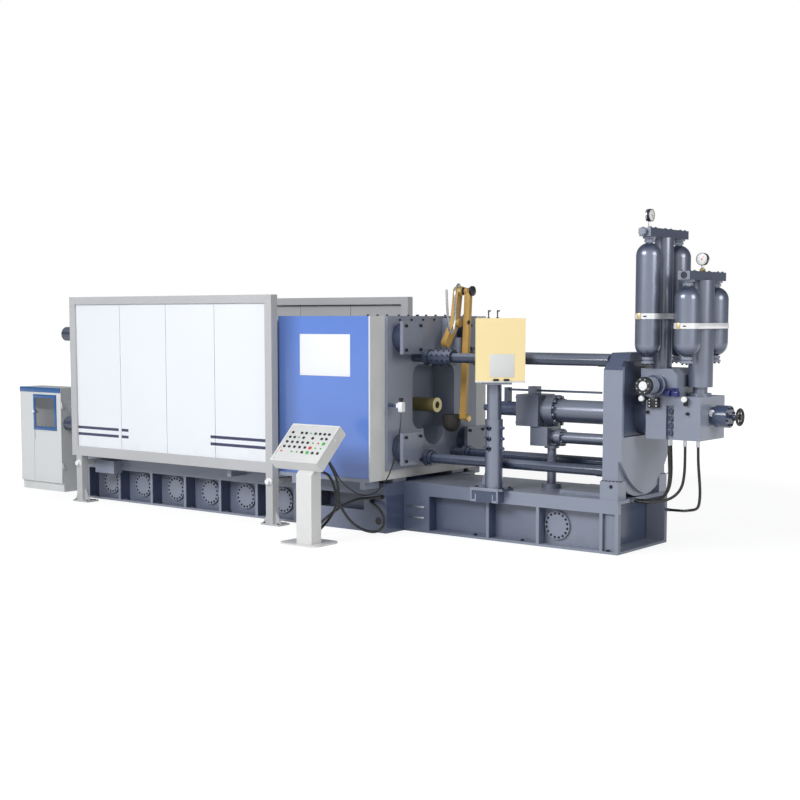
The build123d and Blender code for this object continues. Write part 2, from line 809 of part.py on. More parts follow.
def guard_frame(x1):
    """Rails, stiles, posts, feet and brackets of the near guard, each a member of its own."""
    y0 = -GUARD_Y
    y1 = -GUARD_Y + GUARD_D
    inner_x0 = GUARD_X0 + GUARD_STILE
    inner_x1 = x1 - GUARD_STILE
    inner_z0 = GUARD_Z0 + GUARD_RAIL_LOW
    inner_z1 = GUARD_TOP - GUARD_RAIL_TOP
    members = [
        block(GUARD_X0, inner_x0, y0, y1, GUARD_Z0, GUARD_TOP),
        block(inner_x1, x1, y0, y1, GUARD_Z0, GUARD_TOP),
        block(inner_x0, inner_x1, y0, y1, GUARD_Z0, inner_z0),
        block(inner_x0, inner_x1, y0, y1, inner_z1, GUARD_TOP),
    ]
    for x in (GUARD_X0 + POST_INSET, x1 - GUARD_STILE):
        members += guard_post(x, y0, y1)
    return members


def guard_post(x, y0, y1):
    """Post with its foot plate, two gussets and the bracket that ties it to the bed."""
    reach = (POST_FOOT_LEN - POST_W) / 2
    low = POST_FOOT_T
    high = POST_FOOT_T + POST_GUSSET_H
    members = [
        block(x, x + POST_W, y0, y1, low, GUARD_Z0),
        block(x - reach, x + POST_W + reach, y0, y1 + reach, 0, low),
    ]
    rib_y = y0 + GUARD_D / 2
    for side in (-1, 1):
        root = x if side < 0 else x + POST_W
        outline = ((root, low), (root + side * reach, low), (root, high))
        members.append(slab_y(outline, rib_y - POST_GUSSET_T / 2, rib_y + POST_GUSSET_T / 2))
    arm_x = x + POST_W / 2
    half = TIE_BRACKET_W / 2
    z1 = TIE_BRACKET_Z + TIE_BRACKET_H
    members.append(block(arm_x - half, arm_x + half, y1, -CLAMP_BASE_HALF_W, TIE_BRACKET_Z, z1))
    return members


def guard_panels(x1):
    panels = []
    x0 = GUARD_X0 + GUARD_STILE
    span = (x1 - GUARD_STILE - x0) / GUARD_PANELS
    y0 = -GUARD_Y + GUARD_PANEL_SET
    z0 = GUARD_Z0 + GUARD_RAIL_LOW
    z1 = GUARD_TOP - GUARD_RAIL_TOP
    for i in range(GUARD_PANELS):
        left = x0 + i * span + (PANEL_SEAM / 2 if i else 0)
        last = i == GUARD_PANELS - 1
        right = x0 + (i + 1) * span - (0 if last else PANEL_SEAM / 2)
        panels.append(block(left, right, y0, y0 + GUARD_PANEL_T, z0, z1))
    return panels


def make_door():
    return block(DOOR_X0, DOOR_X1, -DOOR_Y, -DOOR_Y + DOOR_T, DOOR_Z0, DOOR_TOP)


def make_rail():
    """Door rail and the three arms that carry it on the clamp base."""
    z1 = DOOR_Z0 - SEAT_GAP
    mid = -DOOR_Y + DOOR_T / 2
    rail = [block(RAIL_X0, BULK_X, mid - RAIL_T / 2, mid + RAIL_T / 2, z1 - RAIL_H, z1)]
    arm_z1 = z1 - RAIL_H
    arm_z0 = arm_z1 - RAIL_ARM_T
    for x in (RAIL_X0 + RAIL_ARM_W, DOOR_X0 + 3 * RAIL_ARM_W, BULK_X - 2 * RAIL_ARM_W):
        rail.append(block(x, x + RAIL_ARM_W, mid - RAIL_T / 2, -CLAMP_BASE_HALF_W, arm_z0, arm_z1))
    return rail


# Shot end
def make_shot_sleeve():
    x1 = SLEEVE_X1
    body = rod_x(SLEEVE_X0, x1, 0, SHOT_Z, SLEEVE_R)
    body += rod_x(x1 - SLEEVE_RING_T, x1, 0, SHOT_Z, SLEEVE_RING_R)
    body -= rod_x(SLEEVE_X0 - CUT_OVER, x1 + CUT_OVER, 0, SHOT_Z, SLEEVE_BORE_R)
    half = POUR_LEN / 2
    pour = block(POUR_X - half, POUR_X + half, -POUR_W / 2, POUR_W / 2, SHOT_Z, SHOT_Z + SLEEVE_R + CUT_OVER)
    return body - pour


def make_injection_rods():
    parts = []
    for y in (-ROD_Y, ROD_Y):
        for z in (ROD_LOW_Z, ROD_TOP_Z):
            body = rod_x(PLATEN_T, END_X0, y, z, ROD_R)
            x0 = PLATEN_T + ROD_FLANGE_OFF
            x1 = x0 + ROD_FLANGE_T
            body += rod_x(x0, x1, y, z, ROD_FLANGE_R)
            body += rod_x(x1, x1 + ROD_NECK_LEN, y, z, ROD_NECK_R)
            if z == ROD_TOP_Z:
                x0 = x1 + ROD_NECK_LEN
                body += rod_x(x0, x0 + ROD_CLAMP_LEN, y, z, ROD_FLANGE_R)
            body += rod_x(END_X0 - ROD_COUPLER_LEN, END_X0, y, z, ROD_COUPLER_R)
            parts.append(body)
    return parts


def hull_face(points_right, x):
    """Symmetric (y, z) face: straight top, curved keel through a middle point."""
    corner, mid, keel = points_right["corner"], points_right["mid"], points_right["keel"]
    left = [(x, -y, z) for y, z in (corner, mid, keel)]
    right = [(x, y, z) for y, z in (corner, mid, keel)]
    near = ThreePointArc(left[0], left[1], left[2])
    far = ThreePointArc(right[2], right[1], right[0])
    top = [(x, y, z) for y, z in points_right["top"]]
    rest = Polyline(right[0], *top, left[0])
    return make_face(Wire([near, far, *rest.edges()]))


def make_end_plate():
    half = END_HALF_W
    inner = half - END_STEP_W
    shoulder = END_TOP - END_CHAMFER
    crown = half - END_CHAMFER
    top = (
        (inner, END_FLAT_Z),
        (half, END_FLAT_Z),
        (half, shoulder),
        (crown, END_TOP),
        (-crown, END_TOP),
        (-half, shoulder),
        (-half, END_FLAT_Z),
        (-inner, END_FLAT_Z),
    )
    body_points = {
        "corner": (inner, END_HULL_Z),
        "mid": (END_HULL_MID_Y, END_HULL_MID_Z),
        "keel": (0, END_KEEL_Z),
        "top": top,
    }
    face = hull_face(body_points, END_X0)
    body = extrude(face, amount=END_T - END_LAYER_T, dir=(1, 0, 0))
    layer_points = {
        "corner": (half, LAYER_CORNER_Z),
        "mid": (LAYER_MID_Y, LAYER_MID_Z),
        "keel": (0, LAYER_KEEL_Z),
        "top": ((half, shoulder), (crown, END_TOP), (-crown, END_TOP), (-half, shoulder)),
    }
    layer_face = hull_face(layer_points, END_X1 - END_LAYER_T)
    body += extrude(layer_face, amount=END_LAYER_T, dir=(1, 0, 0))
    x0 = END_X1 - END_LAYER_T
    z1 = POCKET2_Z0 + POCKET2_H
    body -= block(x0, END_X1 + CUT_OVER, -POCKET2_HALF_W, POCKET2_HALF_W, POCKET2_Z0, z1)
    foot_inner = inner + RUN_GAP
    foot = block(END_FOOT_X0, END_FOOT_X0 + END_FOOT_LEN, -END_FOOT_Y, -foot_inner, BASE_H, END_FLAT_Z)
    return body + foot + far_copy(foot)


def bolt_ring(x, y, z, ring_r, count, bolt_r, bolt_h):
    bolts = []
    for i in range(count):
        angle = 2 * math.pi * (i + 1 / 2) / count
        by = y + ring_r * math.cos(angle)
        bz = z + ring_r * math.sin(angle)
        bolts.append(rod_x(x, x + bolt_h, by, bz, bolt_r))
    return bolts


def make_shot_cylinder():
    h = HEAD_HALF
    body = block(HEAD_X0, HEAD_X1, -h, h, SHOT_Z - h, SHOT_Z + h)
    body += rod_x(HEAD_X1, FLANGE_X0, 0, SHOT_Z, NECK_R)
    body += rod_x(FLANGE_X0, FLANGE_X1, 0, SHOT_Z, FLANGE_R)
    body += rod_x(FLANGE_X1, END_X0, 0, SHOT_Z, CYL_R)
    ring_r = (FLANGE_R + CYL_R) / 2
    for bolt in bolt_ring(FLANGE_X1, 0, SHOT_Z, ring_r, FLANGE_BOLTS, FLANGE_BOLT_R, FLANGE_BOLT_H):
        body += bolt
    body -= rod_x(HEAD_X0 - CUT_OVER, PISTON_X1 + RUN_GAP, 0, SHOT_Z, PISTON_R + ROD_GAP)
    z0 = SHOT_Z + h
    w = READER_W / 2
    reader = block(READER_X0, READER_X0 + READER_LEN, -w, w, z0, z0 + READER_H)
    reader -= rod_x(READER_X0 - CUT_OVER, READER_X0 + READER_LEN + CUT_OVER, 0, SENSOR_Z, SENSOR_R + ROD_GAP)
    return body + reader


def make_boost_cylinder():
    top = SHOT_Z - HEAD_HALF
    w = BOOST_HALF_W
    body = block(BOOST_X0, BOOST_X0 + BOOST_LEN, -w, w, BOOST_Z0, top)
    body += rod_x(BOOST_X0 + BOOST_LEN, BOOST_FLANGE_X0, 0, BOOST_Z, BOOST_NECK_R)
    x1 = BOOST_FLANGE_X0 + BOOST_FLANGE_T
    body += rod_x(BOOST_FLANGE_X0, x1, 0, BOOST_Z, BOOST_FLANGE_R)
    body += rod_x(x1, END_X0, 0, BOOST_Z, BOOST_R)
    ring_r = (BOOST_FLANGE_R + BOOST_R) / 2
    for bolt in bolt_ring(x1, 0, BOOST_Z, ring_r, FLANGE_BOLTS // 2, FLANGE_BOLT_R / 2, FLANGE_BOLT_H):
        body += bolt
    return body


def make_support_column():
    x = COLUMN_X
    body = rod_z(x, 0, BASE_H, BOOST_Z0, COLUMN_R)
    body += rod_z(x, 0, BOOST_Z0 - COLUMN_CAP_T, BOOST_Z0, COLUMN_CAP_R)
    body += rod_z(x, 0, BASE_H, BASE_H + COLUMN_FOOT_T, COLUMN_FOOT_R)
    return body


def make_plunger():
    x1 = COUPLING_X0 + COUPLING_LEN
    body = rod_x(COUPLING_X0, x1, 0, SHOT_Z, COUPLING_R)
    body += rod_x(COUPLING_X0 - TIP_LEN, COUPLING_X0, 0, SHOT_Z, TIP_R)
    body += rod_x(x1, PISTON_X1, 0, SHOT_Z, PISTON_R)
    w = BRACKET_W / 2
    z1 = SENSOR_Z + 2 * SENSOR_R
    body += block(BRACKET_X0, BRACKET_X0 + BRACKET_T, -w, w, SHOT_Z, z1)
    body += rod_x(BRACKET_X0, SENSOR_END_X, 0, SENSOR_Z, SENSOR_R)
    return body


# Operator display post
def make_hmi_post():
    tube = rod_z(HMI_X, HMI_Y, BASE_H + HMI_FOOT_T, HMI_TUBE_TOP, HMI_TUBE_R)
    bore = HMI_MAST_R + ROD_GAP
    tube -= rod_z(HMI_X, HMI_Y, HMI_MAST_BOTTOM - HMI_DROP - RUN_GAP, HMI_TUBE_TOP + CUT_OVER, bore)
    half_l = HMI_FOOT_LEN / 2
    half_w = HMI_FOOT_W / 2
    y0 = HMI_Y - half_w
    y1 = HMI_Y + half_w
    tube += block(HMI_X - half_l, HMI_X + half_l, y0, y1, BASE_H, BASE_H + HMI_FOOT_T)
    front = -INJ_BASE_HALF_W
    ch = HMI_CHANNEL_W / 2
    low = BASE_H - HMI_CHANNEL_H
    tube += block(HMI_X - ch, HMI_X + ch, y0, front - SEAT_GAP, low, BASE_H + HMI_FOOT_T)
    root = HMI_X - HMI_TUBE_R
    base_z = BASE_H + HMI_FOOT_T
    over = HMI_TUBE_WALL
    outline = ((root + over, base_z), (root - GUSSET_W, base_z), (root + over, base_z + GUSSET_H))
    tube += slab_y(outline, HMI_Y - GUSSET_T / 2, HMI_Y + GUSSET_T / 2)
    return tube


def make_hmi_mast():
    mast = rod_z(HMI_X, HMI_Y, HMI_MAST_BOTTOM, HMI_TOP, HMI_MAST_R)
    half = HMI_PLATE_W / 2
    front = -BOX_FORWARD - BOX_D / 2
    plate = block(-half, half, front, HMI_PLATE_BACK, 0, HMI_PLATE_T)
    return mast + Pos(HMI_X, HMI_Y, HMI_TOP) * Rot(0, 0, BOX_TURN) * plate


def make_hmi_box():
    z0 = HMI_TOP + HMI_PLATE_T
    body = block(-BOX_W / 2, BOX_W / 2, -BOX_D / 2, BOX_D / 2, 0, BOX_H)
    return Pos(HMI_X, HMI_Y, z0) * Rot(0, 0, BOX_TURN) * Pos(BOX_SHIFT_X, -BOX_FORWARD, 0) * body


# Ladling arm
def make_ladler_base():
    w = LADLER_BRACKET_W / 2
    y = LADLER_MID_Y
    body = block(PLATEN_T, LADLER_BRACKET_X1, y - w, y + w, LADLER_BRACKET_Z0, LADLER_BRACKET_TOP)
    body += block(PLATEN_T, ROCKER_X0, y - w, y + w, LADLER_BRACKET_TOP, LADLER_SEAT_TOP)
    return body


def make_ladler_arms():
    x = LADLER_PIVOT_X
    top = (LADLER_TOP_Y, LADLER_TOP_Z)
    hub = (LADLER_HUB_Y, LADLER_HUB_Z)
    mid = (LADLER_MID_Y, LADLER_MID_Z)
    tail = (ROCKER_TAIL_Y, ROCKER_TAIL_Z)
    arm = link(top, hub, ARM_D / 2, x - ARM_W / 2, x + ARM_W / 2)
    rx1 = ROCKER_X0 + ROCKER_T
    arm += link(mid, top, ROCKER_HALF, ROCKER_X0, rx1)
    arm += link(mid, tail, ROCKER_HALF, ROCKER_X0, rx1)
    arm += rod_x(HUB_X0, HUB_X0 + HUB_LEN, *top, HUB_R)
    arm += rod_x(HUB_X0, x, *top, COLLAR_R)
    arm += rod_x(HUB_X0, HUB_X0 + HUB_LEN, *mid, HUB_R)
    arm += rod_x(x + ARM_W / 2, x + ARM_W / 2 + DISC_T, *top, DISC_R)
    arm -= rod_x(x - ARM_W, x + ARM_W, *hub, LADLE_SHAFT_R + ROD_GAP)
    return arm


def make_ladle():
    y = LADLER_HUB_Y
    z1 = LADLER_HUB_Z + LADLE_RISE
    z0 = z1 - LADLE_H
    cup = rod_z(LADLE_X, y, z0 + LADLE_R, z1, LADLE_R) + Pos(LADLE_X, y, z0 + LADLE_R) * Sphere(LADLE_R)
    inner_r = LADLE_R - LADLE_WALL
    hollow = rod_z(LADLE_X, y, z0 + LADLE_R, z1 + CUT_OVER, inner_r)
    hollow += Pos(LADLE_X, y, z0 + LADLE_R) * Sphere(inner_r)
    cup -= hollow
    x0 = LADLE_X + inner_r + LADLE_WALL / 2
    x1 = LADLER_PIVOT_X - ARM_W / 2 - RUN_GAP
    cup += rod_x(x0, x1, y, LADLER_HUB_Z, LADLE_HUB_R)
    x2 = LADLER_PIVOT_X + ARM_W / 2 + RUN_GAP
    cup += rod_x(x0, x2, y, LADLER_HUB_Z, LADLE_SHAFT_R)
    cup += rod_x(x2, x2 + LADLE_BOSS_T, y, LADLER_HUB_Z, LADLE_HUB_R)
    return cup


# Manifold, accumulators and handwheel
def make_main_block():
    w = BLOCK_HALF_W
    body = block(BLOCK_X0, BLOCK_X1, -w, w, BLOCK_Z0, BLOCK_TOP)
    slot_z0 = BLOCK_Z0
    x1 = PLUG_SLOT_X + PLUG_SLOT_W
    body -= block(PLUG_SLOT_X, x1, -w - CUT_OVER, -w + PLUG_SLOT_D, slot_z0 - CUT_OVER, slot_z0 + PLUG_SLOT_H)
    body += rod_x(END_X1 - END_LAYER_T, BLOCK_X0, 0, SHOT_Z, REAR_NECK_R)
    return body


def make_upper_block():
    w = UPPER_HALF_W
    x1 = UPPER_X0 + UPPER_LEN
    c = UPPER_CHAMFER
    outline = ((UPPER_X0, BLOCK_TOP), (x1, BLOCK_TOP), (x1, UPPER_TOP - c), (x1 - c, UPPER_TOP), (UPPER_X0, UPPER_TOP))
    return slab_y(outline, -w, w)


def make_valve_bodies():
    w = UPPER_HALF_W
    round_valve = rod_y(VALVE_X, -w - VALVE_LEN, -w, VALVE_Z, VALVE_R)
    y1 = -w - VALVE_LEN
    round_valve += rod_y(VALVE_X, y1 - VALVE_CAP_LEN, y1, VALVE_Z, VALVE_CAP_R)
    side = rod_x(BLOCK_X1, BLOCK_X1 + SIDE_FLANGE_T, 0, SIDE_VALVE_Z, SIDE_FLANGE_R)
    x0 = BLOCK_X1 + SIDE_FLANGE_T
    side += rod_x(x0, x0 + BONNET_LEN, 0, SIDE_VALVE_Z, BONNET_R)
    x0 += BONNET_LEN
    side += rod_x(x0, x0 + STEM_LEN, 0, SIDE_VALVE_Z, STEM_R)
    return [round_valve, side]


def make_handwheel():
    x = BLOCK_X1 + SIDE_FLANGE_T + BONNET_LEN + STEM_LEN
    half = WHEEL_HUB_LEN / 2
    ring = Pos(x, 0, SIDE_VALVE_Z) * Rot(0, 90, 0) * Torus(WHEEL_R - WHEEL_RIM_R, WHEEL_RIM_R)
    hub = rod_x(x - half, x + half, 0, SIDE_VALVE_Z, WHEEL_HUB_R)
    bore = rod_x(x - half - CUT_OVER, x, 0, SIDE_VALVE_Z, STEM_R + SEAT_GAP)
    wheel = ring + (hub - bore)
    reach = WHEEL_R - WHEEL_RIM_R
    inner = STEM_R + SEAT_GAP + WHEEL_SPOKE_R
    for i in range(WHEEL_SPOKES):
        spoke = Pos(0, 0, (reach + inner) / 2) * Cylinder(WHEEL_SPOKE_R, reach - inner)
        wheel += Pos(x, 0, SIDE_VALVE_Z) * Rot(360 * i / WHEEL_SPOKES, 0, 0) * spoke
    return wheel


def bottle(x, y, z0, z1):
    r = BOTTLE_R
    body = rod_z(x, y, z0 + r, z1 - r, r)
    body += Pos(x, y, z0 + r) * Sphere(r) + Pos(x, y, z1 - r) * Sphere(r)
    return body


def make_large_accumulator():
    parts = []
    bar_z = LARGE_TOP + BOTTLE_NECK_H
    s = LARGE_SPACING
    tube = rod_z(LARGE_X, 0, UPPER_TOP, bar_z, LARGE_TUBE_R)
    w = TOP_BAR_W / 2
    reach = s + TOP_BAR_OVER
    tube += block(LARGE_X - w, LARGE_X + w, -reach, reach, bar_z, bar_z + TOP_BAR_H)
    for y in (-s, s):
        tube += bottle(LARGE_X, y, LARGE_Z0, LARGE_TOP)
        tube += rod_z(LARGE_X, y, LARGE_TOP - BOTTLE_NECK_R, bar_z, BOTTLE_NECK_R)
        tube += rod_z(LARGE_X, y, LARGE_Z0 - BOTTLE_NECK_H, LARGE_Z0 + BOTTLE_NECK_R, BOTTLE_NECK_R)
    parts.append(tube)
    return parts


def make_small_accumulator():
    bar_z = SMALL_TOP + BOTTLE_NECK_H
    s = SMALL_SPACING
    x = SMALL_X
    tube = rod_z(x, 0, SMALL_TUBE_Z0, bar_z, SMALL_TUBE_R)
    tube += rod_z(x, 0, BLOCK_TOP, SMALL_TUBE_Z0, SMALL_NECK_R)
    tube += rod_z(x, 0, BLOCK_TOP, BLOCK_TOP + SMALL_FLANGE_T, SMALL_FLANGE_R)
    w = TOP_BAR_W / 2
    reach = s + TOP_BAR_OVER
    tube += block(x - w, x + w, -reach, reach, bar_z, bar_z + TOP_BAR_H)
    for y in (-s, s):
        tube += bottle(x, y, SMALL_Z0, SMALL_TOP)
        tube += rod_z(x, y, SMALL_TOP - BOTTLE_NECK_R, bar_z, BOTTLE_NECK_R)
        tube += rod_z(x, y, SMALL_Z0 - BOTTLE_NECK_H, SMALL_Z0 + BOTTLE_NECK_R, BOTTLE_NECK_R)
    return tube


def gauge_x(x, y, z):
    stem_top = z + GAUGE_RISE
    body = rod_z(x, y, z, stem_top, GAUGE_STEM_R)
    body += rod_x(x - GAUGE_T / 2, x + GAUGE_T / 2, y, stem_top + GAUGE_R - GAUGE_STEM_R, GAUGE_R)
    return body


def gauge_y(x, y, z):
    stem_top = z + GAUGE_RISE
    body = rod_z(x, y, z, stem_top, GAUGE_STEM_R)
    body += rod_y(x, y - GAUGE_T / 2, y + GAUGE_T / 2, stem_top + GAUGE_R - GAUGE_STEM_R, GAUGE_R)
    return body


def make_gauges():
    large_z = LARGE_TOP + BOTTLE_NECK_H + TOP_BAR_H
    small_z = SMALL_TOP + BOTTLE_NECK_H + TOP_BAR_H
    return [gauge_x(LARGE_X, -LARGE_SPACING, large_z), gauge_y(SMALL_X, 0, small_z)]


def make_bands():
    bands = []
    for x, spacing, z in ((LARGE_X, LARGE_SPACING, LARGE_BAND_Z), (SMALL_X, SMALL_SPACING, SMALL_BAND_Z)):
        for y in (-spacing, spacing):
            ring = rod_z(x, y, z, z + BAND_H, BOTTLE_R + BAND_T)
            ring -= rod_z(x, y, z - CUT_OVER, z + BAND_H + CUT_OVER, BOTTLE_R + SEAT_GAP)
            bands.append(ring)
    return bands


# Console
def make_console_stand():
    x0 = CONSOLE_POST_X0
    x1 = x0 + CONSOLE_POST_W
    y0 = CONSOLE_POST_Y
    d = CONSOLE_POST_D
    post = block(x0, x1, y0, y0 + d, CONSOLE_FOOT_T, CONSOLE_POST_TOP)
    w = CONSOLE_HEAD_W
    post -= console_frame() * block(-CUT_OVER, w, -d, CONSOLE_HEAD_SLOPE, -CONSOLE_HEAD_T, d)
    foot = RectangleRounded(CONSOLE_FOOT_LEN, CONSOLE_FOOT_D, CONSOLE_FOOT_R)
    fx = CONSOLE_FOOT_X0 + CONSOLE_FOOT_LEN / 2
    fy = CONSOLE_FOOT_Y0 + CONSOLE_FOOT_D / 2
    return [post, Pos(fx, fy, 0) * extrude(foot, amount=CONSOLE_FOOT_T)]


def console_frame():
    return Pos(CONSOLE_HEAD_X0, CONSOLE_HEAD_Y, CONSOLE_HEAD_Z) * Rot(CONSOLE_HEAD_TILT, 0, 0)


def make_console_head():
    body = block(0, CONSOLE_HEAD_W, 0, CONSOLE_HEAD_SLOPE, -CONSOLE_HEAD_T, 0)
    return console_frame() * body


# Electric cabinet and small electrics
def make_cabinet_body():
    x0 = CABINET_X0
    x1 = x0 + CABINET_W
    y0 = CABINET_Y0 + CABINET_DOOR_T + RUN_GAP
    y1 = CABINET_Y0 + CABINET_D
    body = block(x0, x1, y0, y1, 0, CABINET_H)
    f = CABINET_FRAME
    inner_z0 = CABINET_PLINTH + f
    body -= block(CABINET_SEAM_X + f, x1 - f, y0 - CUT_OVER, y1 - f, inner_z0, CABINET_H - f)
    body += block(x0, CABINET_SEAM_X, CABINET_Y0, y0, CABINET_PLINTH, CABINET_H)
    hx = x1 + HINGE_OUT
    hy = CABINET_Y0 + HINGE_BACK
    for z in HINGE_Z:
        low = z - HINGE_HALF
        top = z - SEAT_GAP
        body += block(x1, hx + HINGE_R, hy, hy + HINGE_LEAF_D, low, top)
        body += rod_z(hx, hy, low, top, HINGE_R)
        body += rod_z(hx, hy, low, z + HINGE_HALF, HINGE_PIN_R)
    return body


def make_cabinet_door():
    x0 = CABINET_SEAM_X + RUN_GAP
    x1 = CABINET_X0 + CABINET_W
    y0 = CABINET_Y0
    door = block(x0, x1 - SEAT_GAP, y0, y0 + CABINET_DOOR_T, CABINET_PLINTH, CABINET_H)
    for z in HINGE_Z:
        arm = block(x1 - HINGE_OUT, x1 + HINGE_OUT, y0 + HINGE_OUT, y0 + HINGE_BACK, z, z + HINGE_HALF)
        arm += rod_z(x1 + HINGE_OUT, y0 + HINGE_BACK, z, z + HINGE_HALF, HINGE_R)
        arm -= rod_z(x1 + HINGE_OUT, y0 + HINGE_BACK, z - HINGE_HALF, z + 2 * HINGE_HALF, HINGE_PIN_R + ROD_GAP)
        door += arm
    hx = x0 + RUN_GAP
    hz = (CABINET_H + CABINET_PLINTH) / 2
    h = CABINET_HANDLE_H / 2
    door += block(hx, hx + CABINET_HANDLE_W, y0 - CABINET_HANDLE_D, y0, hz - h, hz + h)
    return door


def make_junction_box():
    x0 = JUNCTION_X0
    half = CLAMP_BASE_HALF_W
    return block(x0, x0 + JUNCTION_W, -half - JUNCTION_D, -half, JUNCTION_Z0, JUNCTION_Z0 + JUNCTION_H)


def make_limit_switch():
    """Switch box on a short arm off the platen's near edge."""
    arm_z1 = SWITCH_ARM_Z + SWITCH_ARM_W
    y0 = -PLATEN_HALF
    arm = block(PLATEN_T, SWITCH_X0, y0, y0 + SWITCH_ARM_W, SWITCH_ARM_Z, arm_z1)
    x1 = SWITCH_X0 + SWITCH_W
    box = block(SWITCH_X0, x1, SWITCH_Y0, SWITCH_Y0 + SWITCH_D, SWITCH_Z0, SWITCH_Z0 + SWITCH_H)
    return arm + box


# Hoses and cables
def tube(name, points, r):
    """Round tube along straight runs joined by arcs as large as the runs allow."""
    runs = [Vector(*b) - Vector(*a) for a, b in zip(points[:-1], points[1:])]
    radii = []
    for before, after in zip(runs[:-1], runs[1:]):
        half_turn = math.radians(before.get_angle(after)) / 2
        radii.append(ARC_SHARE * min(before.length, after.length) / math.tan(half_turn))
    path = FilletPolyline(*points, radius=radii)
    section = Plane(origin=points[0], z_dir=runs[0]) * Circle(r)
    body = sweep(section, path=path)
    expected = math.pi * r**2 * path.length
    least = min(radii) / (2 * r)
    print(name, "least radius in diameters", round(least, 1), "length", round(path.length))
    print("  radii", [round(x) for x in radii], "volume share", round(body.volume / expected, 3))
    return body


def make_hose_fittings():
    """Unions under the manifold and in the end of the injection base."""
    parts = []
    for hose in (HOSE_A, HOSE_B, HOSE_C, HOSE_D):
        x, y, _ = hose[0]
        parts.append(rod_z(x, y, BLOCK_Z0 - FITTING_DROP, BLOCK_Z0, FITTING_R))
        _, y, z = hose[-1]
        parts.append(rod_x(INJ_BASE_X1, INJ_BASE_X1 + FITTING_LEN, y, z, FITTING_R))
    return parts


def make_cable_glands():
    """Glands on the console's underside and post and on the clamp base."""
    parts = []
    lean = math.radians(CONSOLE_HEAD_TILT)
    down = Vector(0, math.sin(lean), -math.cos(lean))
    for point, r in ((LOOP_CABLE[0], GLAND_R), (SWITCH_CABLE[0], THIN_GLAND_R)):
        plane = Plane(origin=point, z_dir=-down)
        piece = extrude(plane * Circle(r), amount=2 * GLAND_LEN)
        parts.append(piece - make_console_head())
    x, _, z = POST_CABLE[0]
    back = CONSOLE_POST_Y + CONSOLE_POST_D
    parts.append(rod_y(x, back, back + GLAND_REACH, z, GLAND_R))
    for x, _, z in (LOOP_CABLE[-1], POST_CABLE[-1]):
        parts.append(rod_y(x, -CLAMP_BASE_HALF_W - GLAND_REACH, -CLAMP_BASE_HALF_W, z, GLAND_R))
    return parts


far_guard = [far_copy(member) for member in guard_frame(GUARD_FAR_X1)]
far_guard += [far_copy(panel) for panel in guard_panels(GUARD_FAR_X1)]
near_rail = make_rail()

save("clamp_base", make_clamp_base())
save("injection_base", make_injection_base())
save("base_covers", *make_base_covers())
save("fixed_platen", make_fixed_platen())
save("clamp_platens", make_moving_platen(), make_rear_platen())
save("tie_bars", *make_tie_bars())
save("tie_nuts", *make_tie_nuts())
save("toggle_links", *make_toggle_links())
save("clamp_cylinder", *make_clamp_cylinder())
save("bulkhead", make_bulkhead())
save("near_guard_frame", *guard_frame(GUARD_NEAR_X1))
save("near_guard_panels", *guard_panels(GUARD_NEAR_X1))
save("far_guard", *far_guard)
save("near_door", make_door())
save("far_door", far_copy(make_door()))
save("door_rails", *near_rail, *[far_copy(member) for member in near_rail])
save("shot_sleeve", make_shot_sleeve())
save("injection_rods", *make_injection_rods())
save("end_plate", make_end_plate())
save("shot_cylinder", make_shot_cylinder())
save("boost_cylinder", make_boost_cylinder())
save("support_column", make_support_column())
save("plunger", make_plunger())
save("hmi_post", make_hmi_post())
save("hmi_mast", make_hmi_mast())
save("hmi_box", make_hmi_box())
save("ladler_base", make_ladler_base())
save("ladler_arms", make_ladler_arms())
save("ladle", make_ladle())
save("main_block", make_main_block())
save("upper_block", make_upper_block())
save("valve_bodies", *make_valve_bodies())
save("handwheel", make_handwheel())
save("large_accumulator", *make_large_accumulator())
save("small_accumulator", make_small_accumulator())
save("gauges", *make_gauges())
save("bottle_bands", *make_bands())
save("console_stand", *make_console_stand())
save("console_head", make_console_head())
save("cabinet_body", make_cabinet_body())
save("cabinet_door", make_cabinet_door())
save("junction_box", make_junction_box())
save("limit_switch", make_limit_switch())
save("hose_a", tube("hose_a", HOSE_A, HOSE_R))
save("hose_b", tube("hose_b", HOSE_B, HOSE_R))
save("hose_c", tube("hose_c", HOSE_C, HOSE_R))
save("hose_d", tube("hose_d", HOSE_D, HOSE_R))
save("hose_fittings", *make_hose_fittings())
save("loop_cable", tube("loop_cable", LOOP_CABLE, CABLE_R))
save("post_cable", tube("post_cable", POST_CABLE, CABLE_R))
save("switch_cable", tube("switch_cable", SWITCH_CABLE, THIN_R))
save("cable_glands", *make_cable_glands())
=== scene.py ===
"""Surfaces and fine parts of a cold chamber die casting machine, added to its CAD frame."""

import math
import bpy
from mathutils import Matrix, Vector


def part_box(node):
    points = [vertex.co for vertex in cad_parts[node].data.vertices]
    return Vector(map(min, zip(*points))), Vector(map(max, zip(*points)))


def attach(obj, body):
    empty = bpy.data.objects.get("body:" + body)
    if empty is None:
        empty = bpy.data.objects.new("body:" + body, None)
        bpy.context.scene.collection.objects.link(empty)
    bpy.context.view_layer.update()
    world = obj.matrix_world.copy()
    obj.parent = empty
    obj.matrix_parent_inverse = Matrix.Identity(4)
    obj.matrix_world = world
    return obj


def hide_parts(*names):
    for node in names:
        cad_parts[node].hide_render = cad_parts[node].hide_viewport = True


bl_info = {
    "name": "Die Casting Machine Finish",
    "version": (1, 0, 0),
    "blender": (4, 5, 0),
    "location": "3D View > Sidebar > Die Casting",
    "description": "Paints the die casting machine's frame and adds its fittings, controls and hoses",
    "category": "Object",
}

import bpy
from mathutils import Matrix, Vector

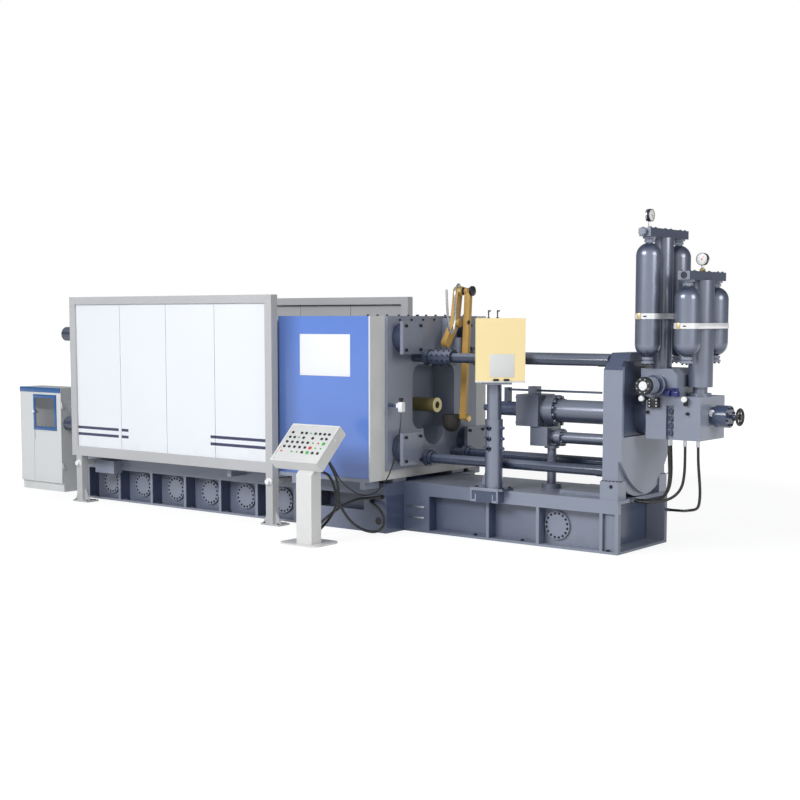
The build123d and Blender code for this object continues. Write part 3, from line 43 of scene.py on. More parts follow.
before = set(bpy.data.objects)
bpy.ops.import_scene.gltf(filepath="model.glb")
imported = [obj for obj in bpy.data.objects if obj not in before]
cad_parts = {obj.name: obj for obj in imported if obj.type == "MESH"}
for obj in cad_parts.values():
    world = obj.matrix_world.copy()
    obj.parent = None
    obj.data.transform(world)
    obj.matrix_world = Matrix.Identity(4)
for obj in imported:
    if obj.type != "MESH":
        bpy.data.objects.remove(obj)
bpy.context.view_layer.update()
MM = 0.001
SMOOTH = math.radians(32)


# Colours and sizes a user may change
def shown(red, green, blue):
    """A colour as a screen shows it, 0 to 255, in the linear values that shaders take."""
    linear = []
    for part in (red, green, blue):
        share = part / 255
        linear.append(share / 12.92 if share <= 0.04045 else ((share + 0.055) / 1.055) ** 2.4)
    return tuple(linear)


def colour(name, description, default):
    return bpy.props.FloatVectorProperty(
        name=name, description=description, subtype="COLOR", size=3, min=0, max=1, default=default
    )


def length(name, description, default):
    return bpy.props.FloatProperty(
        name=name, description=description, subtype="DISTANCE", unit="LENGTH", min=0, default=default
    )


def power(name, description, default):
    return bpy.props.FloatProperty(
        name=name, description=description, subtype="POWER", min=0, default=default
    )


class MachinePaints(bpy.types.PropertyGroup):
    machine: colour("Machine paint", "Blue-grey of beds, platens and cylinders", shown(126, 132, 147))
    # The dark paint is also laid as painted shade in bays, pockets, undersides and along the edges of
    # other parts.
    shade: colour("Dark paint", "Darker blue-grey of rods, nuts and valves", shown(58, 69, 94))
    guard: colour("Guard frame", "Light grey of the guard frames", shown(171, 171, 172))
    panel: colour("Guard panel", "White of the guard panels", shown(216, 218, 222))
    stripe: colour("Stripe", "Navy of the stripes on the guard panels", shown(38, 44, 78))
    door: colour("Door", "Blue of the sliding doors", shown(88, 121, 192))
    sheet: colour("Sheet grey", "Pale grey of the bulkhead and brackets", shown(196, 196, 194))
    cream: colour("Display box", "Cream of the display's housing", shown(224, 204, 152))
    ochre: colour("Ladling arm", "Ochre of the ladling arm", shown(184, 146, 78))
    console: colour("Console", "White of the console", shown(203, 202, 200))
    cabinet: colour("Cabinet", "Pale grey of the electric cabinet", shown(206, 207, 206))
    trim: colour("Cabinet trim", "Blue band and window frame of the cabinet", shown(36, 86, 142))


class FastenerSizes(bpy.types.PropertyGroup):
    cover_bolt: length("Cover bolt", "Radius of the bolts round the bed covers", 0.011)
    cap_bolt: length("Cap bolt", "Radius of the bolts on the tie bar caps", 0.021)
    anchor_bolt: length("Anchor bolt", "Radius of the anchor bolts in the beds", 0.020)
    small_bolt: length("Small bolt", "Radius of the bolts on plates and flanges", 0.010)
    key: length("Console key", "Radius of the console's round keys", 0.017)


class StudioSettings(bpy.types.PropertyGroup):
    lens: bpy.props.FloatProperty(
        name="Lens", description="Focal length on a 36 mm sensor", subtype="DISTANCE_CAMERA",
        default=62.03,
    )
    rise: bpy.props.FloatProperty(
        name="Shift", description="Upward shift of the picture", subtype="FACTOR", default=0.0539
    )
    front_box: power("Front box", "Power of the soft box over the camera's left", 2150)
    end_box: power("End box", "Power of the soft box at the shot end", 950)
    sky_light: bpy.props.FloatProperty(
        name="Sky light", description="Strength of the light from all round", subtype="FACTOR",
        min=0, default=0.36,
    )


# Places taken from the frame, and those of the tie bars and the shot sleeve
CLAMP_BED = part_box("clamp_base")
BAY_TOP = CLAMP_BED[1].z - 0.166
COVER_FACE = -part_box("base_covers")[1].y
CAP_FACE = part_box("tie_nuts")[1].x
PLATEN_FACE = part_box("fixed_platen")[1].x
PLATEN_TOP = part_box("fixed_platen")[1].z
TIE_HALF = 0.72
PLATEN_MIDDLE = 1.826
WALL_SKIN = 0.012
SHOT_HEIGHT = 1.635


# Shader maths
class Value:
    """A number socket that Python arithmetic extends with Math nodes."""

    def __init__(self, finish, socket):
        self.finish = finish
        self.socket = socket

    def maths(self, operation, *terms):
        inputs = dict(enumerate(terms))
        made = self.finish.node("ShaderNodeMath", {"operation": operation}, inputs)
        return Value(self.finish, made.outputs[0])

    def __add__(self, other):
        return self.maths("ADD", self, other)

    def __sub__(self, other):
        return self.maths("SUBTRACT", self, other)

    def __rsub__(self, other):
        return self.maths("SUBTRACT", other, self)

    def __mul__(self, other):
        return self.maths("MULTIPLY", self, other)

    def __gt__(self, other):
        return self.maths("GREATER_THAN", self, other)

    def __lt__(self, other):
        return self.maths("LESS_THAN", self, other)

    def __abs__(self):
        return self.maths("ABSOLUTE", self)

    __radd__ = __add__
    __rmul__ = __mul__

    def between(self, low, high):
        return (self > low) * (self < high)

    def ramp(self, low, high):
        """Rises smoothly from 0 at low to 1 at high."""
        inputs = {"Value": self, "From Min": low, "From Max": high}
        made = self.finish.node("ShaderNodeMapRange", {"interpolation_type": "SMOOTHSTEP"}, inputs)
        return Value(self.finish, made.outputs[0])


class Finish:
    """One material, built a node at a time from Object coordinates."""

    def __init__(self, name):
        self.material = bpy.data.materials.new(name)
        self.material.use_nodes = True
        self.tree = self.material.node_tree
        self.shader = self.tree.nodes["Principled BSDF"]
        self.place = self.node("ShaderNodeTexCoord").outputs["Object"]
        axes = self.node("ShaderNodeSeparateXYZ", None, {"Vector": self.place}).outputs
        self.x, self.y, self.z = (Value(self, axis) for axis in axes)

    def node(self, kind, settings=None, inputs=None):
        made = self.tree.nodes.new(kind)
        for name, setting in (settings or {}).items():
            setattr(made, name, setting)
        for name, given in (inputs or {}).items():
            self.feed(made.inputs[name], given)
        return made

    def feed(self, socket, given):
        if isinstance(given, Value):
            given = given.socket
        if isinstance(given, bpy.types.NodeSocket):
            self.tree.links.new(given, socket)
        elif isinstance(given, (int, float)):
            socket.default_value = given
        else:
            socket.default_value = (*given, 1)[: len(socket.default_value)]

    def set(self, **sockets):
        """Feeds the shader's sockets, with _ for the spaces in their names."""
        for name, given in sockets.items():
            self.feed(self.shader.inputs[name.replace("_", " ")], given)
        return self

    def noise(self, scale, detail=3, stretch=None):
        vector = self.place
        if stretch:
            mapping = self.node("ShaderNodeMapping", None, {"Vector": self.place, "Scale": stretch})
            vector = mapping.outputs[0]
        inputs = {"Vector": vector, "Scale": scale, "Detail": detail}
        made = self.node("ShaderNodeTexNoise", None, inputs)
        return Value(self, made.outputs[0])

    def mix(self, factor, low, high):
        made = self.node("ShaderNodeMix", {"data_type": "RGBA"}, {0: factor, 6: low, 7: high})
        return made.outputs[2]

    def base(self):
        """The socket that feeds the base colour so far."""
        return self.shader.inputs["Base Color"].links[0].from_socket

    def cover(self, factor, tone):
        """Lays a tone over the base colour by a factor."""
        return self.set(Base_Color=self.mix(factor, self.base(), tone))

    def facing(self, x, y, z):
        """How far the surface faces the given direction, -1 to 1."""
        normal = self.node("ShaderNodeNewGeometry").outputs["Normal"]
        axes = self.node("ShaderNodeSeparateXYZ", None, {"Vector": normal}).outputs
        return Value(self, axes[0]) * x + Value(self, axes[1]) * y + Value(self, axes[2]) * z

    def facing_up(self):
        return self.facing(0, 0, 1)

    def bump(self, height, strength, distance):
        inputs = {"Height": height, "Strength": strength, "Distance": distance}
        made = self.node("ShaderNodeBump", None, inputs)
        return self.set(Normal=made.outputs[0])


def scaled(base, share):
    return tuple(min(1, part * share) for part in base)


def paint_coat(name, base, roughness=0.34, coat=0.25, wander=0.03, dust=0.06):
    """Sprayed paint: slow drift of tone, orange peel, dust on what faces up, grime low down."""
    finish = Finish(name)
    drift = finish.noise(0.9, 4)
    tone = finish.mix(drift.ramp(0.3, 0.7), scaled(base, 1 - wander), scaled(base, 1 + wander))
    settled = finish.facing_up().ramp(0.6, 0.98) * finish.noise(3, 3).ramp(0.35, 0.75) * dust
    tone = finish.mix(settled, tone, shown(176, 172, 164))
    low = (1 - finish.z.ramp(0.02, 0.32)) * finish.noise(7, 6).ramp(0.38, 0.72) * 0.22
    wear = finish.noise(11, 3).ramp(0.25, 0.8)
    finish.set(
        Base_Color=finish.mix(low, tone, scaled(base, 0.55)),
        Roughness=wear * 0.05 + (roughness - 0.025),
        Coat_Weight=coat,
        Coat_Roughness=0.12,
        Specular_IOR_Level=0.5,
    )
    return finish.bump(finish.noise(60, 1), 0.02, 0.0003)


def metal_coat(name, base, roughness=0.28, metallic=1.0, stretch=(1, 1, 30), scale=14):
    """Machined or polished metal with fine marks drawn out along its surface."""
    finish = Finish(name)
    marks = finish.noise(scale, 4, stretch)
    stain = finish.noise(3, 5).ramp(0.4, 0.8)
    tone = finish.mix(marks, scaled(base, 0.82), scaled(base, 1.08))
    finish.set(
        Base_Color=finish.mix(stain * 0.25, tone, scaled(base, 0.6)),
        Roughness=marks * 0.18 + (roughness - 0.09),
        Metallic=metallic,
    )
    return finish.bump(marks, 0.08, 0.0004)


def moulded_coat(name, base, roughness=0.4, grain=240):
    """Moulded plastic or rubber with a fine even grain."""
    finish = Finish(name)
    grains = finish.noise(grain, 2)
    cloud = finish.noise(8, 3)
    finish.set(
        Base_Color=finish.mix(cloud, scaled(base, 0.88), scaled(base, 1.08)),
        Roughness=cloud * 0.12 + (roughness - 0.06),
    )
    return finish.bump(grains, 0.12, 0.0004)


def block_finish():
    """Machine paint on the manifold, with painted shade round the neck that joins it to the end
    plate.
    """
    finish = paint_coat("manifold paint", paints().machine)
    neck_length = 0.16
    neck = finish.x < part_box("main_block")[0].x + neck_length
    # Painted shade: the dark paint laid over the neck.
    return finish.cover(neck * 0.85, paints().shade)


def painted_shade_under(finish, amount):
    """Painted shade that darkens the undersides of turned parts."""
    under = 1 - finish.facing_up().ramp(-0.7, 0.35)
    return finish.cover(under * amount, scaled(paints().shade, 0.6))


def round_finish():
    """Machine paint on turned parts, glossier, so that they carry streaks of light."""
    finish = paint_coat("turned part paint", paints().machine, 0.3, 0.4, 0.03, 0)
    # Painted shade on the undersides.
    return painted_shade_under(finish.set(Metallic=0.25), 0.85)


def bottle_finish():
    """Gloss of the accumulator bottles, with painted shade down both edges and a painted dark
    reflection over the domes.
    """
    finish = paint_coat("bottle paint", scaled(paints().machine, 0.92), 0.3, 0.5, 0.03, 0)
    away = finish.facing(0.79, 0.61, 0).ramp(0.05, 0.95)
    near = finish.facing(-0.79, -0.61, 0).ramp(0.5, 1.0)
    domes = abs(finish.facing_up()).ramp(0.1, 0.7)
    finish.set(Metallic=0.4)
    # Painted shade down the far edge and the near edge of each bottle.
    finish.cover(away * 0.85, paints().shade)
    finish.cover(near * 0.6, paints().shade)
    # Painted dark reflection over the top and bottom domes.
    return finish.cover(domes * 0.85, scaled(paints().shade, 0.8))


def tie_nut_finish():
    """Dark nuts on the tie bars under cap plates in the machine's own paint."""
    finish = paint_coat("tie nut paint", scaled(paints().shade, 0.7), 0.3, 0.35, 0.05, 0)
    plate_thickness = 0.0505
    plate = finish.x > CAP_FACE - plate_thickness
    return finish.cover(plate, scaled(paints().machine, 0.86))


def end_plate_finish():
    """Machine paint with painted shade in the pocket behind the manifold and on the faces that look
    up.
    """
    finish = paint_coat("end plate paint", paints().machine)
    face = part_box("end_plate")[1].x
    skin, depth, half_width = 0.006, 0.3, 0.55
    inside = finish.x.between(face - depth, face - skin)
    pocket = inside * (abs(finish.y) < half_width) * finish.z.between(1.38, 2.31)
    level = finish.facing_up().ramp(0.2, 0.6)
    # Painted shade: the dark paint laid over the pocket and the upward faces.
    dark = 1 - (1 - level) * (1 - pocket)
    return finish.cover(dark * 0.85, paints().shade)


def bed_finish(wall):
    """Machine paint with painted shade inside the bays of a bed whose side stands at the wall,
    deepest on the sides of the ribs.
    """
    finish = paint_coat("bed paint", paints().machine)
    level = finish.facing_up().ramp(0.5, 0.9)
    inside = (abs(finish.y) < wall - WALL_SKIN) * (finish.z < BAY_TOP) * (1 - level * 0.4)
    ribs = abs(finish.facing(1, 0, 0)).ramp(0.5, 0.9)
    # Painted shade in the bays: deepest on the rib sides, less on faces that look up and past 2.8 m
    # along the bed.
    depth = inside * (ribs * 0.55 + 0.4 - finish.x.ramp(2.2, 2.8) * 0.35)
    return finish.cover(depth, paints().shade)


def clamp_bed_finish():
    """Bed paint with painted shade inside the long recess under the die space, and painted shade that
    deepens towards the bed's +X end.
    """
    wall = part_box("clamp_base")[1].y
    finish = bed_finish(wall)
    opening = finish.x.between(-0.59, 0.17) * finish.z.between(0.279, 0.489)
    recess = (abs(finish.y) < wall - WALL_SKIN) * opening
    # Painted shade inside the recess.
    finish.cover(recess * 0.85, shown(62, 62, 66))
    # Painted shade that deepens towards the +X end.
    return finish.cover(finish.x.ramp(-1.5, 0.54) * 0.8, paints().shade)


def injection_bed_finish():
    """Bed paint with painted shade where the bed meets the clamping end and on the far side of the
    faces at its shot end, the end web among them.
    """
    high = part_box("injection_base")[1]
    finish = bed_finish(high.y)
    end_depth = 0.3
    joint = (1 - finish.x.ramp(0.6, 2.6)) * (1 - finish.facing_up().ramp(0.5, 0.9))
    end = (finish.x > high.x - end_depth) * finish.facing(1, 0, 0).ramp(0.5, 0.9)
    # Painted shade: deepening towards the joint with the clamping end, and on the far side of the +X
    # faces at the shot end.
    dark = joint * 0.75 + end * finish.y.ramp(-0.2, 0.1) * 0.8
    return finish.cover(dark, paints().shade)


def panel_finish():
    """White panel with two navy stripes at each end and soiling at the foot."""
    finish = paint_coat("guard panel paint", paints().panel, 0.3, 0.3, 0.006, 0)
    height = finish.z.between(1.126, 1.168) + finish.z.between(1.027, 1.069)
    left = finish.x.between(-5.150, -4.225) + finish.x.between(-4.165, -4.008)
    right = finish.x.between(-2.290, -1.206)
    near = finish.y < 0
    soil = finish.noise(3, 6).ramp(0.5, 0.8) * (1 - finish.z.ramp(0.85, 1.4)) * 0.12
    finish.cover(soil, shown(178, 172, 160))
    return finish.cover(height * (left + right) * near, paints().stripe)


def door_finish():
    """Blue door sheet, with painted shadow of the guard along the edge that runs behind it, and
    darker low down.
    """
    finish = paint_coat("door paint", paints().door, 0.22, 0.6, 0.02, 0)
    # Painted shadow of the guard along the door's edge; the foot is darker too.
    edge = 1 - finish.x.ramp(-1.05, -0.6)
    foot = 1 - finish.z.ramp(0.8, 1.9)
    return finish.cover(edge * 0.8 + foot * 0.15, scaled(paints().door, 0.42))


def sleeve_finish():
    """Heat-tinted steel of the shot sleeve, turned marks running round it."""
    finish = metal_coat("shot sleeve steel", shown(146, 138, 92), 0.36, 0.35, (30, 1, 1), 10)
    return finish.cover(finish.x.ramp(0.25, 0.62) * 0.4, shown(150, 132, 84))


def rod_finish():
    """Painted injection rod, with painted highlights in streaks along its upper front and painted
    shade underneath.
    """
    finish = paint_coat("rod paint", scaled(paints().shade, 0.62), 0.26, 0.5, 0.05, 0)
    marks = finish.noise(1.2, 2, (0.4, 2, 2)).ramp(0.2, 0.8)
    # Painted highlight where the rod faces up and to the front, broken up by the marks.
    painted_highlight = finish.facing(0, -0.6, 0.8).ramp(0.7, 1.0) * marks
    finish.cover(painted_highlight * 0.8, scaled(paints().machine, 1.1))
    # Painted shade on the underside.
    return painted_shade_under(finish, 0.7)


def iron_finish():
    """Coated cast iron of the ladle, rough and crusted."""
    finish = Finish("ladle iron")
    cloud = finish.noise(18, 6)
    crust = finish.noise(70, 5).ramp(0.45, 0.7)
    tone = finish.mix(cloud, shown(44, 42, 40), shown(66, 64, 60))
    finish.set(
        Base_Color=finish.mix(crust * 0.3, tone, shown(84, 80, 76)),
        Roughness=cloud * 0.2 + 0.68,
        Metallic=0.15,
    )
    return finish.bump(crust, 0.4, 0.002)


def rubber_finish():
    """Hose rubber with a fine grain and a dusty bloom."""
    finish = moulded_coat("hose rubber", shown(20, 20, 22), 0.42, 320)
    bloom = finish.noise(9, 5).ramp(0.45, 0.75)
    return finish.cover(bloom * 0.12, shown(60, 60, 62))


def glass_finish():
    """Smoked window glass with faint controls behind it."""
    finish = moulded_coat("smoked window", shown(92, 94, 96), 0.16, 60)
    pitches = finish.x * 9.0
    controls = pitches.maths("FRACT", pitches).between(0.3, 0.5)
    row = finish.z.between(1.05, 1.08)
    return finish.cover(row * controls * 0.6, shown(50, 52, 56)).set(Coat_Weight=0.6)


PATTERNED_FINISHES = {
    "block": block_finish,
    "round": round_finish,
    "bottle": bottle_finish,
    "end_plate": end_plate_finish,
    "tie_nut": tie_nut_finish,
    "clamp_bed": clamp_bed_finish,
    "injection_bed": injection_bed_finish,
    "panel": panel_finish,
    "door": door_finish,
    "sleeve": sleeve_finish,
    "rod": rod_finish,
    "iron": iron_finish,
    "rubber": rubber_finish,
    "glass": glass_finish,
}
# Each of one coat: its kind and name, a machine paint or a colour as shown, the coat's settings
PLAIN_FINISHES = {
    "machine": (paint_coat, "machine paint", "machine"),
    "shade": (paint_coat, "dark machine paint", "shade", 0.28, 0.35),
    "guard": (paint_coat, "guard frame paint", "guard", 0.4, 0.1, 0.03),
    "sheet": (paint_coat, "sheet grey paint", "sheet", 0.42, 0.08, 0.04),
    "cream": (paint_coat, "display box paint", "cream", 0.4, 0.15, 0.02, 0.04),
    "ochre": (paint_coat, "ladling arm paint", "ochre", 0.3, 0.35, 0.08, 0.05),
    "console": (paint_coat, "console paint", "console", 0.36, 0.2, 0.02, 0.03),
    "cabinet": (paint_coat, "cabinet paint", "cabinet", 0.42, 0.12, 0.02, 0.06),
    "trim": (paint_coat, "cabinet trim paint", "trim", 0.34, 0.25, 0.03, 0.05),
    "white": (paint_coat, "white enamel", (222, 223, 224), 0.3, 0.3, 0.006, 0),
    "sleeve_ring": (paint_coat, "sleeve rim", (248, 236, 178), 0.4, 0.1, 0.04, 0),
    "steel": (metal_coat, "bright steel", (198, 200, 204)),
    "band": (metal_coat, "polished strap", (240, 240, 241), 0.22, 0.25, (1, 1, 12), 20),
    "brass": (metal_coat, "brass hub", (216, 188, 118), 0.28, 0.7, (12, 1, 1), 16),
    "dark_metal": (metal_coat, "blackened steel", (52, 54, 60), 0.42, 0.7),
    "clasp": (metal_coat, "strap clasp", (196, 180, 140), 0.4, 0.5),
    "black": (moulded_coat, "black plastic", (28, 28, 31), 0.38),
    "solenoid": (moulded_coat, "solenoid blue", (33, 42, 104), 0.35),
    "dial": (moulded_coat, "dial white", (225, 225, 222), 0.3, 90),
    "red": (moulded_coat, "red plastic", (205, 62, 44), 0.35),
    "green": (moulded_coat, "green plastic", (60, 168, 66), 0.35),
}
made_finishes = {}


def paints():
    return bpy.context.scene.die_casting_paints


def fasteners():
    return bpy.context.scene.die_casting_fasteners


def material(name):
    """The material of a finish, made when it is first asked for."""
    if name not in made_finishes:
        if name in PATTERNED_FINISHES:
            finish = PATTERNED_FINISHES[name]()
        else:
            coat, title, base, *settings = PLAIN_FINISHES[name]
            base = getattr(paints(), base) if isinstance(base, str) else shown(*base)
            finish = coat(title, base, *settings)
        made_finishes[name] = finish.material
    return made_finishes[name]


# Modelling by hand
def deselect():
    bpy.ops.object.select_all(action="DESELECT")


def choose(obj):
    deselect()
    obj.select_set(True)
    bpy.context.view_layer.objects.active = obj


def settle(obj):
    """Puts the object's place and turn into its mesh."""
    choose(obj)
    bpy.ops.object.transform_apply(location=True, rotation=True, scale=True)
    return obj


def open_mesh(obj):
    """Edit mode with the whole mesh selected."""
    choose(obj)
    bpy.ops.object.mode_set(mode="EDIT")
    bpy.ops.mesh.select_all(action="SELECT")


def open_faces(obj, wanted):
    """Edit mode with only those faces selected that the test picks."""
    open_mesh(obj)
    bpy.ops.mesh.select_mode(type="FACE")
    bpy.ops.mesh.select_all(action="DESELECT")
    close_mesh()
    for face in obj.data.polygons:
        face.select = wanted(face)
    bpy.ops.object.mode_set(mode="EDIT")


def close_mesh():
    bpy.ops.object.mode_set(mode="OBJECT")


def slab(low, high, bevel=0.0):
    """A cuboid between two corners with rounded edges."""
    deselect()
    low, high = Vector(low), Vector(high)
    bpy.ops.mesh.primitive_cube_add(size=1, location=(low + high) / 2, scale=high - low)
    obj = settle(bpy.context.active_object)
    if bevel:
        open_mesh(obj)
        bpy.ops.mesh.bevel(offset=bevel, segments=2, affect="EDGES")
        close_mesh()
    return obj


TURNS = {
    "+Z": (0, 0, 0),
    "-Z": (math.pi, 0, 0),
    "-Y": (math.pi / 2, 0, 0),
    "+Y": (-math.pi / 2, 0, 0),
    "+X": (0, math.pi / 2, 0),
    "-X": (0, -math.pi / 2, 0),
}


def stand(obj, at, axis="+Z"):
    """Turns a piece made along +Z to an axis and sets it down at a point."""
    obj.rotation_euler = TURNS[axis]
    obj.location = at
    return settle(obj)


def turned(steps, at=(0, 0, 0), axis="+Z", sides=32):
    """A turned piece: a disc drawn out ring by ring through (radius, distance) steps."""
    deselect()
    radius, start = steps[0]
    bpy.ops.mesh.primitive_circle_add(
        vertices=sides, radius=radius, fill_type="NGON", location=(0, 0, start)
    )
    obj = settle(bpy.context.active_object)
    open_mesh(obj)
    for wide, place in steps[1:]:
        shift = (0, 0, place - start)
        bpy.ops.mesh.extrude_region_move(TRANSFORM_OT_translate={"value": shift})
        share = wide / radius
        bpy.ops.transform.resize(value=(share, share, 1), center_override=(0, 0, place))
        radius, start = wide, place
    bpy.ops.mesh.select_all(action="SELECT")
    bpy.ops.mesh.normals_make_consistent(inside=False)
    close_mesh()
    return stand(obj, at, axis)


def hex_bolt(radius, at=(0, 0, 0), axis="+Z"):
    """A hexagon head on its washer."""
    seat = radius * 0.25
    washer = turned([(radius * 1.45, 0), (radius * 1.45, seat)], sides=16)
    head = turned([(radius, seat), (radius, radius * 0.85), (radius * 0.8, radius)], sides=6)
    return stand(joined([washer, head]), at, axis)


def cap_screw(radius, at=(0, 0, 0), axis="+Z"):
    """A round socket head with its recess."""
    rings = [
        (radius, 0),
        (radius, radius * 1.1),
        (radius * 0.85, radius * 1.25),
        (radius * 0.5, radius * 1.25),
        (radius * 0.48, radius * 0.7),
    ]
    return turned(rings, at, axis, sides=14)


def joined(parts):
    deselect()
    for part in parts:
        part.select_set(True)
    bpy.context.view_layer.objects.active = parts[0]
    bpy.ops.object.join()
    return bpy.context.active_object


def repeated(source, places):
    """Copies of a piece made at the origin, each with its own mesh, joined into one."""
    copies = []
    for place in places:
        copy = source.copy()
        copy.data = source.data.copy()
        copy.data.transform(Matrix.Translation(place))
        bpy.context.scene.collection.objects.link(copy)
        copies.append(copy)
    bpy.data.objects.remove(source)
    return joined(copies)


def both_sides(near):
    """The piece joined with its mirror image on the far side of the centreline."""
    choose(near)
    bpy.ops.object.duplicate()
    far = bpy.context.active_object
    bpy.ops.transform.mirror(constraint_axis=(False, True, False), center_override=(0, 0, 0))
    open_mesh(settle(far))
    bpy.ops.mesh.normals_make_consistent(inside=False)
    close_mesh()
    return joined([near, far])


def coated(obj, finish):
    obj.data.materials.clear()
    obj.data.materials.append(material(finish))
    return obj


def fitted(obj, finish, name, body="machine"):
    """A finished piece: coated, smooth where it is round, named, and riding on its body."""
    choose(coated(obj, finish))
    bpy.ops.object.shade_smooth_by_angle(angle=SMOOTH)
    obj.name = name
    obj.data.name = name
    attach(obj, body)
    return obj


def beside(centre, across, up, axis):
    """The point at two distances from a centre, in the plane that faces along the axis."""
    shift = {"X": (0, across, up), "Y": (across, 0, up), "Z": (across, up, 0)}[axis[1]]
    return Vector(centre) + Vector(shift)


def ring(centre, radius, count, axis, start=0.0):
    """Points evenly round a circle that faces along the axis."""
    turns = [2 * math.pi * (i + start) / count for i in range(count)]
    return [
        beside(centre, radius * math.cos(turn), radius * math.sin(turn), axis) for turn in turns
    ]


def four(centre, wide, tall, axis):
    """The corners of an oblong about a point, given half its sides, facing along the axis."""
    return [beside(centre, a, b, axis) for a in (-wide, wide) for b in (-tall, tall)]


class StudioOperator(bpy.types.Operator):
    """Set up the floor, light and camera round the machine"""

    bl_idname = "diecasting.studio"
    bl_label = "Studio"

    def execute(self, context):
        settings = context.scene.die_casting_studio
        floor = self.floor()
        self.sky(context, settings)
        self.lamp(context, settings)
        self.camera(context, settings)
        context.scene.view_settings.view_transform = "Standard"
        return {"FINISHED"}

    def floor(self):
        deselect()
        bpy.ops.mesh.primitive_plane_add(size=160, location=(0, 0, -0.0005))
        floor = settle(bpy.context.active_object)
        floor.name = "studio_floor"
        finish = Finish("studio floor")
        finish.set(Base_Color=shown(214, 214, 214), Roughness=0.9, Specular_IOR_Level=0.1)
        glow = finish.node("ShaderNodeEmission", None, {"Color": (1, 1, 1), "Strength": 1.14})
        ray = finish.node("ShaderNodeLightPath").outputs
        seen = Value(finish, ray["Is Camera Ray"]) + Value(finish, ray["Is Glossy Ray"])
        measure = finish.node("ShaderNodeVectorMath", {"operation": "LENGTH"}, {0: finish.place})
        fade = Value(finish, measure.outputs["Value"]).ramp(6.5, 12.0) * 0.24
        blend = finish.node("ShaderNodeMixShader", None, {0: seen * (fade + 0.76)})
        finish.tree.links.new(finish.shader.outputs[0], blend.inputs[1])
        finish.tree.links.new(glow.outputs[0], blend.inputs[2])
        output = finish.tree.nodes["Material Output"]
        finish.tree.links.new(blend.outputs[0], output.inputs["Surface"])
        floor.data.materials.append(finish.material)
        return floor

    def sky(self, context, settings):
        world = bpy.data.worlds.new("studio sky")
        context.scene.world = world
        world.use_nodes = True
        tree = world.node_tree
        even = tree.nodes["Background"]
        even.inputs["Color"].default_value = (0.92, 0.955, 1.0, 1)
        self.shade_sides(tree, even, settings.sky_light)
        white = tree.nodes.new("ShaderNodeBackground")
        white.inputs["Color"].default_value = (1, 1, 1, 1)
        ray = tree.nodes.new("ShaderNodeLightPath")
        blend = tree.nodes.new("ShaderNodeMixShader")
        tree.links.new(ray.outputs["Is Camera Ray"], blend.inputs[0])
        tree.links.new(even.outputs[0], blend.inputs[1])
        tree.links.new(white.outputs[0], blend.inputs[2])
        tree.links.new(blend.outputs[0], tree.nodes["World Output"].inputs["Surface"])

    def shade_sides(self, tree, background, strength):
        """Bright sky towards the camera and overhead, darker to the sides and behind."""
        place = tree.nodes.new("ShaderNodeTexCoord")
        toward = tree.nodes.new("ShaderNodeVectorMath")
        toward.operation = "DOT_PRODUCT"
        toward.inputs[1].default_value = (0.34, -0.72, 0.6)
        fall = tree.nodes.new("ShaderNodeMapRange")
        fall.interpolation_type = "SMOOTHSTEP"
        limits = {
            "From Min": 0.1, "From Max": 0.95, "To Min": strength * 0.7, "To Max": strength * 1.9,
        }
        for name, value in limits.items():
            fall.inputs[name].default_value = value
        tree.links.new(place.outputs["Generated"], toward.inputs[0])
        tree.links.new(toward.outputs["Value"], fall.inputs["Value"])
        tree.links.new(fall.outputs[0], background.inputs["Strength"])

    def lamp(self, context, settings):
        cool, warm = (0.97, 0.98, 1.0), (1.0, 0.99, 0.96)
        boxes = (
            ("front_box", (-1.5, -15.0, 9.5), (0, 0, 1.2), (9.0, 5.0), cool),
            ("end_box", (17.0, -3.0, 7.0), (3.0, 0, 1.6), (7.0, 6.0), warm),
        )
        for name, place, target, size, tint in boxes:
            light = bpy.data.lights.new(name, "AREA")
            light.shape = "RECTANGLE"
            light.size, light.size_y = size
            light.energy = getattr(settings, name)
            light.color = tint
            lamp = bpy.data.objects.new(name, light)
            lamp.location = place
            aim = Vector(target) - Vector(place)
            lamp.rotation_euler = aim.to_track_quat("-Z", "Y").to_euler()
            context.scene.collection.objects.link(lamp)

    def camera(self, context, settings):
        lens = bpy.data.cameras.new("camera")
        lens.lens = settings.lens
        lens.sensor_width = 36
        lens.shift_y = settings.rise
        lens.clip_end = 200
        camera = bpy.data.objects.new("camera", lens)
        tilt, turn = math.radians(84.818), math.radians(37.915)
        camera.location = (11.617, -14.936, 2.8)
        camera.rotation_euler = (tilt, 0, turn)
        context.scene.collection.objects.link(camera)
        context.scene.camera = camera


CAD_FINISHES = {
    "clamp_bed": ("clamp_base",),
    "injection_bed": ("injection_base",),
    "end_plate": ("end_plate",),
    "machine": (
        "fixed_platen", "clamp_platens", "toggle_links", "upper_block", "base_covers",
        "junction_box", "door_rails", "ladler_base",
    ),
    "block": ("main_block",),
    "round": ("shot_cylinder", "boost_cylinder", "support_column"),
    "tie_nut": ("tie_nuts",),
    "shade": ("clamp_cylinder", "plunger", "valve_bodies"),
    "bottle": ("large_accumulator", "small_accumulator", "hmi_post", "hmi_mast"),
    "rod": ("injection_rods", "tie_bars"),
    "guard": ("near_guard_frame", "far_guard"),
    "panel": ("near_guard_panels",),
    "door": ("near_door", "far_door"),
    "sheet": ("bulkhead",),
    "sleeve": ("shot_sleeve",),
    "cream": ("hmi_box",),
    "ochre": ("ladler_arms",),
    "iron": ("ladle",),
    "black": ("handwheel", "cable_glands"),
    "steel": ("gauges", "hose_fittings"),
    "band": ("bottle_bands",),
    "console": ("console_stand", "console_head"),
    "cabinet": ("cabinet_body", "cabinet_door"),
}


class PaintOperator(bpy.types.Operator):
    """Give every part of the frame its paint or metal"""

    bl_idname = "diecasting.paint"
    bl_label = "Paint the frame"

    def execute(self, context):
        for finish, nodes in CAD_FINISHES.items():
            for node in nodes:
                coated(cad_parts[node], finish)
        return {"FINISHED"}


